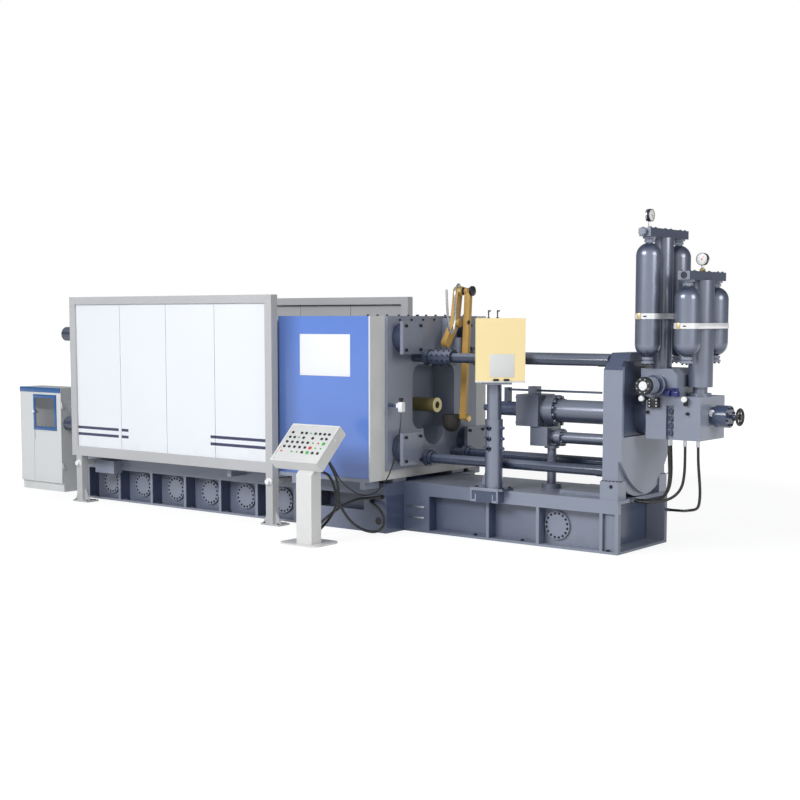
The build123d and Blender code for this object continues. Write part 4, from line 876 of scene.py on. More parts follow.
class BedFittingsOperator(bpy.types.Operator):
    """Bolt the round covers and anchors of the two beds"""

    bl_idname = "diecasting.bed_fittings"
    bl_label = "Bed fittings"

    def execute(self, context):
        bays, step = 6, 0.725
        first = CLAMP_BED[0].x + 0.06
        height = 0.262
        centres = [(first + (i + 0.5) * step, COVER_FACE, height) for i in range(bays)]
        centres.append((2.822, -0.505, height))
        rings = [spot for centre in centres for spot in ring(centre, 0.15, 16, "-Y", 0.5)]
        bolts = repeated(hex_bolt(fasteners().cover_bolt, axis="-Y"), rings)
        fitted(both_sides(bolts), "dark_metal", "cover_bolts")
        floor = 0.03
        anchors = [(0.665, -0.520), (1.623, -0.530), (2.338, -0.530), (3.59, -0.600)]
        anchors += [(first + i * step + 0.12, -0.93) for i in range(bays)]
        bolts = repeated(hex_bolt(fasteners().anchor_bolt), [(x, y, floor) for x, y in anchors])
        fitted(both_sides(bolts), "dark_metal", "anchor_bolts")
        self.trim()
        return {"FINISHED"}

    def trim(self):
        """Bright bars beside the die space, the dark ports, and the web at the shot end."""
        bars = [
            slab((0.59, -0.638, z), (0.871, -0.6275, z + 0.022), 0.003) for z in (0.325, 0.185)
        ]
        fitted(both_sides(joined(bars)), "steel", "bed_trim_bars")
        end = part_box("injection_base")[1].x
        # The web's +X face takes the injection bed's painted shade on its far side.
        web = slab((end - 0.27, -0.3, 0.03), (end - 0.262, 0.62, 0.6))
        fitted(web, "injection_bed", "bed_end_web")
        steps = [(0.05, 0), (0.05, 0.004), (0.036, 0.004), (0.034, 0.001)]
        port = turned(steps, (0.412, -1.008, 0.156), "-Y")
        fitted(both_sides(port), "black", "bed_ports")


class PlatenFittingsOperator(bpy.types.Operator):
    """Bolt the tie bar caps, the platen's face and the rod couplings"""

    bl_idname = "diecasting.platen_fittings"
    bl_label = "Platen fittings"

    def execute(self, context):
        sizes = fasteners()
        spread = 0.155
        bars = four((CAP_FACE, 0, PLATEN_MIDDLE), TIE_HALF, TIE_HALF, "+X")
        places = [spot for bar in bars for spot in four(bar, spread, spread, "+X")]
        bolts = repeated(cap_screw(sizes.cap_bolt, axis="+X"), places)
        fitted(bolts, "dark_metal", "cap_bolts")
        row = [(PLATEN_FACE, -0.75 + i * 0.25, PLATEN_TOP - 0.05) for i in range(7)]
        across = (-0.86, -0.2, 0.2, 0.86)
        lugs = [(0.12 + i * 0.16, y, PLATEN_TOP) for i in range(3) for y in across]
        face = repeated(cap_screw(sizes.small_bolt * 1.4, axis="+X"), row)
        crown = repeated(cap_screw(sizes.small_bolt * 1.6), lugs)
        fitted(joined([face, crown]), "dark_metal", "platen_screws")
        self.couplings(sizes.small_bolt * 1.1)
        return {"FINISHED"}

    def couplings(self, radius):
        """Rings of screws round the clamped couplings of the two upper injection rods."""
        rod_spacing, rod_height, coupling_radius, count = 0.437, 2.288, 0.1075, 10
        screws = []
        for y in (-rod_spacing, rod_spacing):
            for x in (0.919, 1.005, 1.09, 1.175):
                for i in range(count):
                    angle = 2 * math.pi * i / count
                    screw = cap_screw(radius)
                    screw.rotation_euler = (angle, 0, 0)
                    out = Vector((0, -math.sin(angle), math.cos(angle)))
                    screw.location = Vector((x, y, rod_height)) + out * coupling_radius
                    screws.append(settle(screw))
        fitted(joined(screws), "dark_metal", "coupling_screws")


class LimitSwitchOperator(bpy.types.Operator):
    """Model the limit switch on the fixed platen's near edge"""

    bl_idname = "diecasting.limit_switch"
    bl_label = "Limit switch"

    def execute(self, context):
        low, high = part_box("limit_switch")
        self.bracket(high.x)
        self.switch(high.x - 0.06, low.y)
        return {"FINISHED"}

    def bracket(self, end):
        face, height = -1.002, 1.68
        arm = slab((PLATEN_FACE, face, 1.655), (end - 0.1, -0.99, 1.705), 0.002)
        rib = slab((PLATEN_FACE, -0.992, 1.668), (end - 0.13, -0.952, 1.692), 0.002)
        arm = fitted(joined([arm, rib]), "shade", "switch_bracket")
        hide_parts("limit_switch")
        head = [(0.011, 0.0), (0.011, 0.003), (0.006, 0.004)]
        screws = [turned(head, (PLATEN_FACE + x, face, height), "-Y", 14) for x in (0.04, 0.085)]
        fitted(joined(screws), "black", "switch_bracket_screws")

    def switch(self, x, front):
        body = slab((x - 0.032, front, 1.6), (x + 0.032, front + 0.075, 1.728), 0.008)
        lid = slab((x - 0.025, front - 0.003, 1.615), (x + 0.025, front + 0.002, 1.712), 0.003)
        side = slab((x - 0.075, front + 0.012, 1.65), (x - 0.028, front + 0.06, 1.712), 0.006)
        fitted(joined([body, lid, side]), "white", "switch_body")
        steps = [
            (0.022, 0), (0.022, 0.006), (0.016, 0.01), (0.016, 0.016),
            (0.031, 0.02), (0.031, 0.046), (0.022, 0.054),
        ]
        head = turned(steps, (x - 0.008, front + 0.038, 1.726), "+Z", 24)
        fitted(head, "black", "switch_head")


class GuardFittingsOperator(bpy.types.Operator):
    """Add the clamp knobs, discs and anchor bolts of the guards"""

    bl_idname = "diecasting.guard_fittings"
    bl_label = "Guard fittings"

    def execute(self, context):
        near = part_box("near_guard_frame")
        front, height = near[0].y, 0.6
        left, right = -5.1135, -1.1455
        knob = [
            (0.05, 0), (0.05, 0.012), (0.03, 0.016), (0.026, 0.03),
            (0.036, 0.034), (0.036, 0.05), (0.02, 0.056),
        ]
        knobs = [turned(knob, (x, front, height), "-Y", 28) for x in (left, right)]
        fitted(joined(knobs), "white", "guard_knobs")
        disc = [(0.06, 0), (0.06, 0.014), (0.05, 0.02)]
        places = [(x - 0.0625, front + 0.06, height) for x in (left, right)]
        discs = [turned(disc, place, "-X", 28) for place in places]
        fitted(joined(discs), "black", "guard_discs")
        bolts = []
        for node, side in (("near_guard_frame", 1), ("far_guard", -1)):
            low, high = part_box(node)
            for x in (low.x + left - near[0].x, high.x + right - near[1].x):
                for across in (-0.13, 0.13):
                    rows = (front + 0.028, front + 0.18)
                    bolts += [(x + across, side * row, 0.025) for row in rows]
        bolts = repeated(hex_bolt(0.012), bolts)
        fitted(bolts, "dark_metal", "guard_anchor_bolts")
        return {"FINISHED"}


class DoorFittingsOperator(bpy.types.Operator):
    """Add the bare sign plate, edge trim and corner screws of the sliding door"""

    bl_idname = "diecasting.door_fittings"
    bl_label = "Door fittings"

    def execute(self, context):
        low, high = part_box("near_door")
        face = low.y
        plate = slab((-0.695, face - 0.003, 2.047), (0.172, face + 0.001, 2.591), 0.0012)
        edge = slab((high.x - 0.012, face - 0.002, low.z), (high.x, high.y, high.z), 0.001)
        body = "sliding_door"
        fitted(joined([plate, edge]), "white", "door_sign_plate", body)
        corners = [(x, face - 0.003, z) for x in (-0.675, 0.152) for z in (2.067, 2.571)]
        screws = repeated(cap_screw(0.006, axis="-Y"), corners)
        fitted(screws, "steel", "door_sign_screws", body)
        return {"FINISHED"}


class ShotEndOperator(bpy.types.Operator):
    """Add the sleeve rim and the bolts of the cylinder head and end plate"""

    bl_idname = "diecasting.shot_end"
    bl_label = "Shot end"

    def execute(self, context):
        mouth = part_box("shot_sleeve")[1].x
        steps = [
            (0.0475, -0.004), (0.099, -0.004), (0.099, 0.002),
            (0.096, 0.004), (0.05, 0.004), (0.0475, 0.002),
        ]
        rim = turned(steps, (mouth, 0, SHOT_HEIGHT), "+X", 48)
        open_faces(rim, lambda face: len(face.vertices) > 4)
        bpy.ops.mesh.delete(type="FACE")
        close_mesh()
        fitted(rim, "sleeve_ring", "sleeve_rim")
        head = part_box("shot_cylinder")[0].x
        corners = four((head, 0, SHOT_HEIGHT), 0.16, 0.16, "-X")
        screws = repeated(cap_screw(0.018, axis="-X"), corners)
        fitted(screws, "dark_metal", "head_screws")
        feet = [(3.50 + 0.05 * i, -0.597, 0.87) for i in range(6)]
        lug = hex_bolt(0.016, (3.63, -0.618, 0.81), "-Y")
        bolts = joined([repeated(hex_bolt(0.010), feet), lug])
        fitted(both_sides(bolts), "dark_metal", "end_plate_bolts")
        return {"FINISHED"}


class ManifoldOperator(bpy.types.Operator):
    """Add the valves, plugs, solenoids and studs on the manifold"""

    bl_idname = "diecasting.manifold"
    bl_label = "Manifold fittings"

    def execute(self, context):
        low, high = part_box("main_block")
        self.round_valve()
        self.studs(low.y)
        self.connector(low.y)
        self.plugs(low.y)
        self.solenoids(low.y, high.z)
        self.side_valve()
        return {"FINISHED"}

    def round_valve(self):
        """Barrel, black collar, bare disc, screws and lip of the valve on the upper block."""
        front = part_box("valve_bodies")[0].y
        x, z = 4.06, 2.02
        barrel = [
            (0.098, -0.07), (0.098, 0.05), (0.092, 0.054),
            (0.092, 0.07), (0.098, 0.074), (0.098, 0.09),
        ]
        collar = [
            (0.078, 0.088), (0.1, 0.088), (0.104, 0.094), (0.104, 0.152),
            (0.098, 0.16), (0.062, 0.16), (0.06, 0.15),
        ]
        disc = [(0.054, 0.148), (0.054, 0.158), (0.046, 0.166)]
        for steps, finish, name, slot in (
            (barrel, "machine", "valve_barrel", "machine_blue_grey"),
            (collar, "black", "valve_collar", "machine_dark"),
            (disc, "white", "valve_disc", "panel_white"),
        ):
            fitted(turned(steps, (x, front, z), "-Y", 40), finish, name)
        places = ring((x, front - 0.16, z), 0.08, 8, "-Y", 0.5)
        screws = repeated(cap_screw(0.009, axis="-Y"), places)
        fitted(screws, "steel", "valve_collar_screws")
        steps = [(0.118, 0.0), (0.124, 0.006), (0.124, 0.022), (0.118, 0.028)]
        lip = turned(steps, (x, -0.36, z), "-Y", 40)
        fitted(lip, "machine", "valve_lip")

    def studs(self, face):
        """Two pressure pick-ups with white caps, and two bosses below them."""
        bulb = [
            (0.02, 0), (0.03, 0.004), (0.034, 0.012),
            (0.034, 0.034), (0.03, 0.042), (0.014, 0.046),
        ]
        plug = [(0.02, 0), (0.026, 0.004), (0.026, 0.04), (0.014, 0.05)]
        boss = [(0.02, 0), (0.02, 0.02), (0.012, 0.026), (0.012, 0.05)]
        bulbs, studs = [], []
        for x, z, reach in ((3.936, 1.862, 0.13), (4.443, 1.864, 0.05)):
            stem = [
                (0.024, 0), (0.024, 0.012), (0.014, 0.016),
                (0.014, reach - 0.014), (0.022, reach - 0.01), (0.022, reach),
            ]
            bulbs.append(turned(bulb, (x, face - reach, z), "-Y", 28))
            studs.append(turned(stem, (x, face, z), "-Y", 12))
            studs.append(turned(plug, (x, face - reach + 0.02, z - 0.03), "-Z", 6))
        fitted(joined(bulbs), "white", "pressure_bulbs")
        studs += [turned(boss, (x, face, 1.695), "-Y", 12) for x in (3.945, 4.461)]
        fitted(joined(studs), "dark_metal", "manifold_studs")

    def connector(self, face):
        front = face - 0.06
        body = slab((3.965, front, 1.752), (4.105, face + 0.001, 1.872), 0.008)
        fitted(body, "black", "connector_block")
        dots = [(3.99 + 0.09 * i, front, 1.775 + 0.036 * j) for i in range(2) for j in range(3)]
        pin = turned([(0.009, -0.002), (0.009, 0.004), (0.006, 0.006)], axis="-Y", sides=12)
        fitted(repeated(pin, dots), "white", "connector_pins")

    def plugs(self, face):
        """Four round plugs down the slot in the block's near face."""
        floor = face + 0.034
        steps = [(0.034, 0), (0.034, 0.024), (0.027, 0.032), (0.018, 0.032), (0.016, 0.02)]
        plugs = [turned(steps, (4.23, floor, 1.46 + 0.085 * i), "-Y", 28) for i in range(4)]
        fitted(joined(plugs), "shade", "slot_plugs")

    def solenoids(self, face, top):
        """Two pairs of coils on a pilot valve that stands on the block's near edge."""
        coil = [
            (0.021, 0), (0.021, 0.01), (0.016, 0.014),
            (0.016, 0.03), (0.021, 0.034), (0.017, 0.044),
        ]
        parts = []
        for x in (4.2, 4.305):
            low = (x - 0.042, face - 0.05, top + 0.002)
            high = (x + 0.042, face + 0.018, top + 0.06)
            parts.append(slab(low, high, 0.008))
            for shift in (-0.024, 0.024):
                place = (x + shift, face - 0.018, top + 0.058)
                parts.append(turned(coil, place, "+Z", 16))
        fitted(joined(parts), "solenoid", "solenoids")

    def side_valve(self):
        bonnet_face = 4.838
        places = ring((bonnet_face, 0, 1.66), 0.104, 8, "+X", 0.5)
        screws = repeated(cap_screw(0.013, axis="+X"), places)
        fitted(screws, "dark_metal", "bonnet_screws")
        dial = turned([(0.04, 0), (0.04, 0.01), (0.03, 0.014)], (4.66, -0.105, 1.7), "-Y", 24)
        fitted(dial, "white", "side_valve_dial")


class AccumulatorOperator(bpy.types.Operator):
    """Add the strap spans, clasps, unions and bar bolts of the accumulators"""

    bl_idname = "diecasting.accumulators"
    bl_label = "Accumulator fittings"

    def execute(self, context):
        banks = (
            ("large", 3.955, 0.375, 2.79, 2.343, 3.745),
            ("small", 4.455, 0.370, 2.678, 2.352, 3.238),
        )
        for name, x, spacing, band, low, bar in banks:
            self.straps(name, x, spacing, band)
            self.unions(name, x, spacing, low, bar)
            self.bar_bolts(name, x, spacing, bar + 0.1)
        self.top_fittings()
        return {"FINISHED"}

    def straps(self, name, x, spacing, band):
        """Flat spans of strap from the outer bottles to the middle tube, front and back."""
        reach, gauge, width = 0.156, 0.004, 0.065
        parts = []
        for left in (x - reach, x + reach - gauge):
            ends = ((left, -spacing, band), (left + gauge, spacing, band + width))
            parts.append(slab(*ends, 0.0008))
        fitted(joined(parts), "band", name + "_strap_spans")
        low = (x - 0.06, -spacing - 0.166, band - 0.004)
        high = (x - 0.012, -spacing - 0.15, band + width + 0.004)
        fitted(slab(low, high, 0.003), "clasp", name + "_strap_clasp")
        low = (x + 0.02, -spacing - 0.159, band + 0.024)
        high = (x + 0.06, -spacing - 0.154, band + 0.038)
        fitted(slab(low, high, 0.001), "black", name + "_strap_buckle")

    def unions(self, name, x, spacing, low, bar):
        """Stepped unions with hexagon nuts at both ends of each bottle."""
        bottom = [
            (0.05, -0.078), (0.072, -0.072), (0.072, -0.045), (0.05, -0.041),
            (0.05, -0.034), (0.066, -0.03), (0.066, 0.0),
        ]
        top = [
            (0.058, -0.066), (0.058, -0.034), (0.05, -0.03),
            (0.05, -0.026), (0.076, -0.024), (0.076, 0.0),
        ]
        parts, studs = [], []
        for y in (-spacing, spacing):
            parts.append(turned(bottom, (x, y, low), "+Z", 12))
            parts.append(turned(top, (x, y, bar), "+Z", 6))
            studs += ring((x, y, low - 0.078), 0.056, 6, "+Z")
        fitted(joined(parts), "machine", name + "_bottle_unions")
        screws = repeated(cap_screw(0.01, axis="-Z"), studs)
        fitted(screws, "dark_metal", name + "_union_screws")

    def bar_bolts(self, name, x, spacing, top):
        places = four((x, 0, top), 0.048, 0.07, "+Z")
        for y in (-spacing, spacing):
            places += four((x, y, top), 0.048, 0.06, "+Z")
        bolts = repeated(hex_bolt(0.012), places)
        fitted(bolts, "dark_metal", name + "_bar_bolts")

    def top_fittings(self):
        """Hexagon plug beside the tall gauge, the low bar's port and the low gauge's union."""
        plug = [
            (0.04, 0), (0.04, 0.012), (0.05, 0.016), (0.05, 0.05), (0.04, 0.058), (0.02, 0.058),
        ]
        port = [(0.04, -0.001), (0.04, 0.004), (0.026, 0.004), (0.024, 0.001)]
        union = [(0.03, 0), (0.034, 0.006), (0.034, 0.03), (0.02, 0.04)]
        plug = turned(plug, (3.94, -0.485, 3.8), "-Y", 6)
        fitted(plug, "machine", "tall_bar_plug")
        port = turned(port, (4.455, -0.48, 3.288), "-Y", 24)
        fitted(port, "dark_metal", "low_bar_port")
        union = turned(union, (4.455, 0, 3.338), "+Z", 6)
        fitted(union, "brass", "gauge_union")


class GaugeOperator(bpy.types.Operator):
    """Add the dials, needles and scales of the two pressure gauges"""

    bl_idname = "diecasting.gauges"
    bl_label = "Pressure gauges"

    def execute(self, context):
        self.dial("tall_gauge", (3.981, -0.375, 3.991), "+X")
        self.dial("low_gauge", (4.455, -0.026, 3.484), "-Y")
        return {"FINISHED"}

    def dial(self, name, centre, axis):
        steps = [
            (0.071, -0.03), (0.0735, -0.03), (0.0735, 0.003),
            (0.07, 0.004), (0.066, 0.003), (0.066, 0.001),
        ]
        rim = turned(steps, centre, axis, 40)
        fitted(rim, "dark_metal", name + "_case")
        face = turned([(0.066, 0.0), (0.066, 0.002), (0.065, 0.0025)], centre, axis, 40)
        fitted(face, "dial", name + "_face")
        first, step, count = 225, 22.5, 13
        ticks = []
        for i in range(count):
            tick = slab((-0.0018, 0.046, 0.002), (0.0018, 0.06, 0.0034), 0.0003)
            tick.rotation_euler = (0, 0, math.radians(first - i * step - 90))
            ticks.append(settle(tick))
        fitted(stand(joined(ticks), centre, axis), "black", name + "_scale")
        needle = slab((-0.0028, -0.014, 0.0035), (0.0028, 0.05, 0.0055), 0.0005)
        needle.rotation_euler = (0, 0, math.radians(-40))
        hub = turned([(0.006, 0.002), (0.006, 0.007), (0.004, 0.008)])
        needle = stand(joined([settle(needle), hub]), centre, axis)
        fitted(needle, "red", name + "_needle")


class DisplayOperator(bpy.types.Operator):
    """Add the hinges, bare plate, hooks, clamp bolts and channel of the display"""

    bl_idname = "diecasting.display"
    bl_label = "Operator display"

    mast = Vector((1.97, -0.632, 2.03))
    turn = math.radians(38)

    def execute(self, context):
        for obj, finish, name, slot in self.box_parts():
            obj.rotation_euler = (0, 0, self.turn)
            obj.location = self.mast
            fitted(settle(obj), finish, name, "display_mast")
        self.clamp_bolts()
        self.channel()
        return {"FINISHED"}

    def box_parts(self):
        """Parts in the box's own axes: X across it, -Y its front, Z up from its foot."""
        front = -0.26
        plate = slab((-0.076, front - 0.003, 0.045), (0.226, front + 0.001, 0.33), 0.001)
        rim = slab((-0.255, front - 0.01, -0.02), (0.365, -0.125, 0.0), 0.004)
        under = slab((-0.16, front + 0.01, -0.046), (0.2, -0.14, -0.019), 0.003)
        hinges = []
        for x in (0.0, 0.13):
            low, high = (x - 0.035, front - 0.014, -0.004), (x + 0.035, front + 0.001, 0.026)
            leaf = slab(low, high, 0.004)
            pin = turned([(0.011, -0.034), (0.011, 0.034)], (x, front - 0.012, 0.012), "+X", 14)
            hinges += [leaf, pin]
        stem = [(0.016, 0), (0.016, 0.01), (0.007, 0.014), (0.009, 0.085), (0.005, 0.09)]
        tip = [(0.009, -0.018), (0.009, 0.018)]
        hooks = []
        for x in (-0.09, 0.02):
            hooks.append(turned(stem, (x, -0.195, 0.77), "+Z", 12))
            hooks.append(turned(tip, (x + 0.01, -0.195, 0.858), "+X", 12))
        return (
            (plate, "sheet", "display_plate", "plate_grey"),
            (rim, "sheet", "display_foot_plate", "plate_grey"),
            (under, "machine", "display_under_plate", "machine_blue_grey"),
            (joined(hinges), "black", "display_hinges", "machine_dark"),
            (joined(hooks), "dark_metal", "display_hooks", "machine_dark"),
        )

    def channel(self):
        """Rims of the folded channel under the post, a dark sheet of painted shade in its hollow, and
        the foot bolts.
        """
        face, foot, top = -0.757, 0.5, 0.682
        left, right = 1.702, 2.12
        side = slab((left, face, foot), (1.822, -0.63, top), 0.003)
        fitted(side, "machine", "channel_end")
        # A flat sheet in the dark paint stands in for the shade inside the channel.
        hollow = slab((1.724, face - 0.002, 0.502), (2.098, face + 0.001, 0.652))
        fitted(hollow, "shade", "channel_hollow")
        bars = (
            (left, foot, 1.726, top, 0.012),
            (2.096, foot, right, top, 0.012),
            (1.726, 0.642, 2.096, top, 0.012),
            (1.726, foot, 1.792, 0.53, 0.012),
            (2.03, foot, 2.096, 0.53, 0.012),
            (1.772, foot, 1.792, 0.6, 0.01),
            (2.03, foot, 2.05, 0.6, 0.01),
        )
        rims = [
            slab((x0, face - proud, z0), (x1, face + 0.001, z1), 0.003)
            for x0, z0, x1, z1, proud in bars
        ]
        fitted(joined(rims), "machine", "channel_rims")
        corners = [(x, y, 0.68) for x in (1.77, 2.16) for y in (-0.72, -0.56)]
        bolts = repeated(hex_bolt(0.018), corners)
        fitted(bolts, "dark_metal", "post_foot_bolts")

    def clamp_bolts(self):
        """Three rows of clamp bolts on three sides of the post, the front ones laid twice."""
        reach = 0.111
        steps = [(0.034, -0.01), (0.034, 0.01), (0.022, 0.014), (0.02, 0.036), (0.016, 0.04)]
        x, y = self.mast.x, self.mast.y
        bolts = []
        for z in (1.433, 1.3, 1.176):
            for side, axis in ((-reach, "-X"), (reach, "+X")):
                bolts.append(turned(steps, (x + side, y, z), axis, 6))
                bolts.append(turned(steps, (x, y - reach, z), "-Y", 6))
        fitted(joined(bolts), "shade", "mast_clamp_bolts")


class LadlerOperator(bpy.types.Operator):
    """Add the brass hubs, collars, shaft end and conduit of the ladling arm"""

    bl_idname = "diecasting.ladler"
    bl_label = "Ladling arm"

    def execute(self, context):
        top, mid, hub = (0.300, 3.162), (0.236, 2.741), (0.193, 1.467)
        boss = [(0.058, 0), (0.062, 0.006), (0.062, 0.105), (0.056, 0.112)]
        hubs = [turned(boss, (0.712, *pivot), "+X", 40) for pivot in (top, mid)]
        fitted(joined(hubs), "brass", "arm_hubs")
        cap = [(0.044, 0), (0.048, 0.004), (0.048, 0.046), (0.04, 0.05), (0.02, 0.05)]
        cap = turned(cap, (0.9605, *hub), "+X", 32)
        fitted(cap, "brass", "ladle_shaft_cap", "pouring_ladle")
        rim = [(0.064, -0.028), (0.066, -0.02), (0.066, 0.004), (0.05, 0.012), (0.02, 0.014)]
        collars = [
            turned([(0.05, 0), (0.05, 0.024), (0.044, 0.03)], (0.836, *top), "+X", 32),
            turned(rim, (0.988, *top), "+X", 32),
            turned([(0.03, 0), (0.03, 0.01), (0.02, 0.016)], (0.96, *mid), "+X", 24),
        ]
        fitted(joined(collars), "black", "arm_collars")
        conduit = cord_curve("conduit", CONDUIT, 0.03, "steel")
        choose(conduit)
        bpy.ops.object.convert(target="MESH")
        fitted(bpy.context.object, "steel", "arm_conduit")
        return {"FINISHED"}


class ConsoleOperator(bpy.types.Operator):
    """Lay out the console's keys, rim and lamps"""

    bl_idname = "diecasting.console"
    bl_label = "Console"

    wide, deep = 0.784, 0.62
    slope = math.radians(44)
    corner = (-0.212, -2.4, 1.03)

    def execute(self, context):
        self.lay_keys(fasteners().key)
        self.lay(self.rim(), "console", "console_rim")
        edge = 0.035
        plate = slab((edge, edge, 0.0), (self.wide - edge, self.deep - edge, 0.0016), 0.0006)
        self.lay(plate, "sheet", "console_key_plate")
        steps = [(0.026, 0), (0.026, 0.006), (0.018, 0.01)]
        lock = turned(steps, (self.wide, self.deep * 0.7, -0.06), "+X", 24)
        self.lay(lock, "console", "console_lock")
        return {"FINISHED"}

    def lay_keys(self, radius):
        """Rows of keys from the foot up: K black, G and R large, g and r lamps, space none."""
        rows = ("r ggKGKK", "KKKKKRgg", "KKKKKgrG", "KKgK K KK", "K KKgKKKK")
        kinds = {
            "K": ("black", 1.0, "black_keys"),
            "G": ("green", 1.25, "large_green_keys"),
            "R": ("red", 1.25, "large_red_keys"),
            "g": ("green", 0.55, "green_lamps"),
            "r": ("red", 0.6, "red_lamps"),
        }
        margin, low, rise = 0.09, 0.163, 0.078
        caps = {kind: [] for kind in kinds}
        for row, line in enumerate(rows):
            step = (self.wide - 2 * margin) / (len(line) - 1)
            for column, key in enumerate(line):
                if key in caps:
                    caps[key].append((margin + column * step, low + row * rise, 0))
        for kind, (finish, share, name) in kinds.items():
            size = radius * share
            foot = [(size * 1.15, 0), (size * 1.15, 0.004)]
            cap = [(size, 0.005), (size, 0.012), (size * 0.8, 0.015)]
            self.lay(repeated(turned(foot + cap, sides=24), caps[kind]), finish, name)

    def rim(self):
        """Raised frame round the sloping face, its middle inset and sunk."""
        rim = slab((0.0, 0.0, -0.002), (self.wide, self.deep, 0.008))
        open_faces(rim, lambda face: face.normal.z > 0.9)
        bpy.ops.mesh.inset(thickness=0.028)
        bpy.ops.mesh.extrude_region_move(TRANSFORM_OT_translate={"value": (0, 0, -0.009)})
        close_mesh()
        return rim

    def lay(self, obj, finish, name):
        """Turns a part made in the head's own axes onto its slope."""
        obj.rotation_euler = (self.slope, 0, 0)
        obj.location = self.corner
        fitted(settle(obj), finish, name)


class CabinetOperator(bpy.types.Operator):
    """Add the cabinet's blue band, window, knob and louvres"""

    bl_idname = "diecasting.cabinet"
    bl_label = "Electric cabinet"

    def execute(self, context):
        low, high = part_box("cabinet_body")
        face = -0.86
        band = slab((low.x - 0.004, face - 0.006, 1.6), (-6.252, face, 1.68), 0.003)
        fitted(band, "trim", "cabinet_band")
        self.window(face)
        self.louvres(high.x)
        return {"FINISHED"}

    def window(self, face):
        """Framed window and round knob in the opening leaf."""
        body, slot = "cabinet_leaf", "cabinet_grey"
        x0, z0, x1, z1 = -6.939, 0.988, -6.356, 1.565
        edge, lap = 0.055, 0.004
        in_x0, in_z0, in_x1, in_z1 = x0 + edge, z0 + edge, x1 - edge, z1 - edge
        bars = (
            (x0, z0, x1, in_z0),
            (x0, in_z1, x1, z1),
            (x0, in_z0, in_x0, in_z1),
            (in_x1, in_z0, x1, in_z1),
        )
        bars = [slab((a, face - 0.012, b), (c, face, d), 0.003) for a, b, c, d in bars]
        fitted(joined(bars), "trim", "cabinet_window_frame", body)
        low, high = (in_x0 - lap, face - 0.006, in_z0 - lap), (in_x1 + lap, face, in_z1 + lap)
        fitted(slab(low, high, 0.001), "glass", "cabinet_window", body)
        steps = [(0.02, 0), (0.02, 0.014), (0.028, 0.018), (0.028, 0.03), (0.018, 0.036)]
        knob = turned(steps, (x0 + 0.018, face - 0.01, 1.279), "-Y", 28)
        fitted(knob, "white", "cabinet_knob", body)

    def louvres(self, end):
        """Pressed louvres in two groups on the near end of the cabinet."""
        slats = []
        for group in (1.28, 0.98):
            for i in range(6):
                z = group + i * 0.034
                slats.append(slab((end - 0.001, -0.70, z), (end + 0.006, -0.52, z + 0.016), 0.003))
        fitted(joined(slats), "cabinet", "cabinet_louvres")


def cord_curve(name, points, diameter, finish):
    """A smooth curve through space, guided by the route's points in millimetres."""
    data = bpy.data.curves.new(name, "CURVE")
    data.dimensions = "3D"
    data.bevel_depth = diameter / 2
    data.bevel_resolution = 4
    data.resolution_u = 12
    data.use_fill_caps = True
    line = data.splines.new("NURBS")
    line.points.add(len(points) - 1)
    for spot, point in zip(line.points, points):
        spot.co = (*(Vector(point) * MM), 1)
    line.order_u = 3
    line.use_endpoint_u = True
    obj = bpy.data.objects.new(name, data)
    bpy.context.scene.collection.objects.link(obj)
    data.materials.append(material(finish))
    return obj


# Routes of the conduit, hoses and cables in millimetres
CONDUIT = (
    (840, -98, 3175), (840, -80, 2908), (840, -48, 2668), (840, 10, 2581),
    (840, 86, 2668), (840, 104, 2908), (840, 77, 3120), (838, 140, 3230), (815, 230, 3262),
    (790, 290, 3190),
)
HOSE_A = (
    (4210, -288, 1312), (4214, -291, 1150), (4228, -289, 950), (4205, -292, 765),
    (4112, -289, 655), (3950, -292, 622), (3795, -290, 627),
)
HOSE_B = (
    (4209, -238, 1312), (4216, -236, 1150), (4222, -239, 965), (4200, -237, 795),
    (4118, -240, 676), (3955, -238, 628), (3795, -238, 627),
)
HOSE_C = (
    (4417, -290, 1312), (4420, -291, 1150), (4417, -294, 985), (4395, -304, 830),
    (4314, -318, 722), (4185, -331, 655), (3985, -339, 618), (3795, -342, 627),
)
HOSE_D = (
    (4582, -290, 1312), (4585, -291, 1150), (4602, -289, 970), (4614, -283, 805),
    (4603, -268, 682), (4563, -219, 597), (4470, -118, 552), (4327, 50, 516),
    (4183, 250, 476), (4054, 426, 443), (3915, 555, 424), (3795, 594, 416),
)
LOOP_CABLE = (
    (400, -2050, 1099), (432, -1988, 975), (500, -1952, 830), (532, -1950, 655),
    (497, -1950, 460), (408, -1972, 300), (280, -1992, 170), (130, -1950, 72),
    (-20, -1850, 30), (-120, -1700, 50), (-118, -1550, 150), (-22, -1415, 282),
    (90, -1290, 385), (215, -1200, 448), (345, -1160, 466), (435, -1125, 475),
    (478, -1050, 478),
)
POST_CABLE = (
    (380, -2128, 900), (383, -2008, 878), (388, -1913, 785), (389, -1850, 640),
    (386, -1772, 468), (380, -1650, 312), (368, -1500, 185), (372, -1350, 95),
    (405, -1215, 40), (490, -1135, 32), (566, -1096, 98), (568, -1082, 216),
    (490, -1087, 330), (390, -1104, 398), (318, -1050, 411),
)
SWITCH_CABLE = (
    (330, -2008, 1156), (350, -1950, 1050), (412, -1902, 930), (460, -1872, 820),
    (452, -1790, 738), (412, -1670, 682), (388, -1530, 612), (372, -1390, 545),
    (352, -1270, 517), (366, -1165, 506), (422, -1096, 532), (503, -1064, 605),
    (590, -1052, 725), (668, -1048, 875), (722, -1050, 1040), (768, -1053, 1210),
    (798, -1050, 1370), (800, -1030, 1480), (775, -1000, 1580),
)
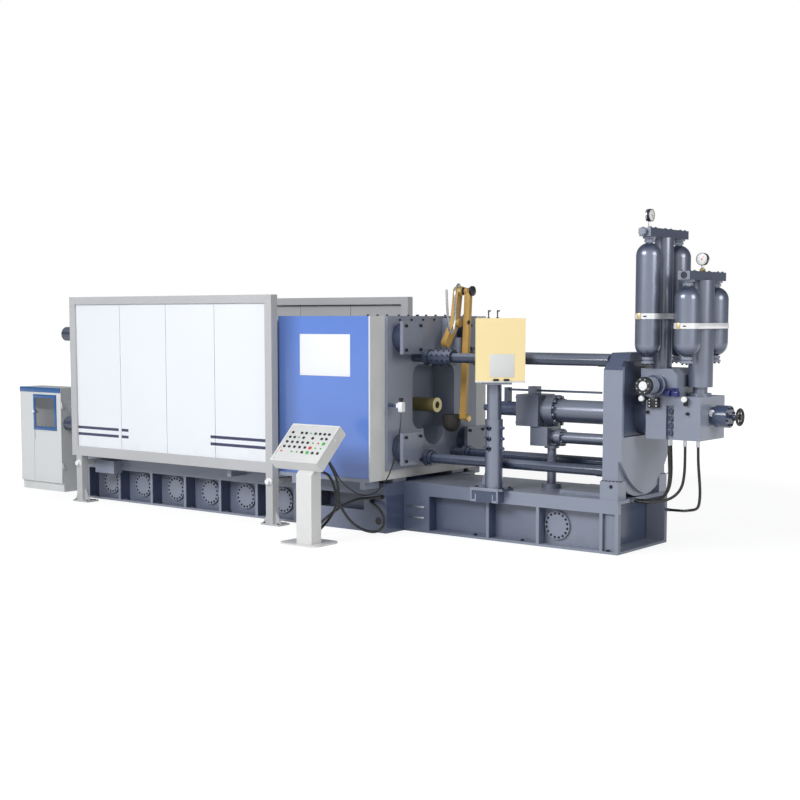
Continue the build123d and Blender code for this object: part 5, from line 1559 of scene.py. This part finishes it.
CORDS = (
    ("hose_a", HOSE_A, 0.034, 1.0, "medium"),
    ("hose_b", HOSE_B, 0.034, 0.98, "medium"),
    ("hose_c", HOSE_C, 0.034, 1.15, "medium"),
    ("hose_d", HOSE_D, 0.034, 1.88, "medium"),
    ("loop_cable", LOOP_CABLE, 0.036, 2.63, "medium"),
    ("post_cable", POST_CABLE, 0.036, 1.98, "limp"),
    ("switch_cable", SWITCH_CABLE, 0.016, 2.42, "limp"),
)


class CordOperator(bpy.types.Operator):
    """Hang the manifold's hoses and lay the console's cables"""

    bl_idname = "diecasting.cords"
    bl_label = "Hoses and cables"

    def execute(self, context):
        for node, points, diameter, run, stiffness in CORDS:
            curve = cord_curve(node + "_line", points, diameter, "rubber")
            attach(curve, "machine")
            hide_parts(node)
        return {"FINISHED"}


GROUPS = (
    (MachinePaints, "die_casting_paints"),
    (FastenerSizes, "die_casting_fasteners"),
    (StudioSettings, "die_casting_studio"),
)
OPERATORS = (
    StudioOperator,
    PaintOperator,
    BedFittingsOperator,
    PlatenFittingsOperator,
    LimitSwitchOperator,
    GuardFittingsOperator,
    DoorFittingsOperator,
    ShotEndOperator,
    ManifoldOperator,
    AccumulatorOperator,
    GaugeOperator,
    DisplayOperator,
    LadlerOperator,
    ConsoleOperator,
    CabinetOperator,
    CordOperator,
)


class DieCastingPanel(bpy.types.Panel):
    """Lists the machine's groups of parts"""

    bl_idname = "VIEW3D_PT_die_casting"
    bl_label = "Die Casting Machine"
    bl_space_type = "VIEW_3D"
    bl_region_type = "UI"
    bl_category = "Die Casting"

    def draw(self, context):
        layout = self.layout
        for operator in OPERATORS:
            layout.operator(operator.bl_idname)
        for group, name in GROUPS:
            box = layout.box()
            settings = getattr(context.scene, name)
            for field in group.__annotations__:
                box.prop(settings, field)


def register():
    for group, name in GROUPS:
        bpy.utils.register_class(group)
        setattr(bpy.types.Scene, name, bpy.props.PointerProperty(type=group))
    for operator in OPERATORS:
        bpy.utils.register_class(operator)
    bpy.utils.register_class(DieCastingPanel)


def unregister():
    bpy.utils.unregister_class(DieCastingPanel)
    for operator in reversed(OPERATORS):
        bpy.utils.unregister_class(operator)
    for group, name in reversed(GROUPS):
        delattr(bpy.types.Scene, name)
        bpy.utils.unregister_class(group)


def main():
    register()
    for operator in OPERATORS:
        group, action = operator.bl_idname.split(".")
        getattr(getattr(bpy.ops, group), action)()


if __name__ == "__main__":
    main()
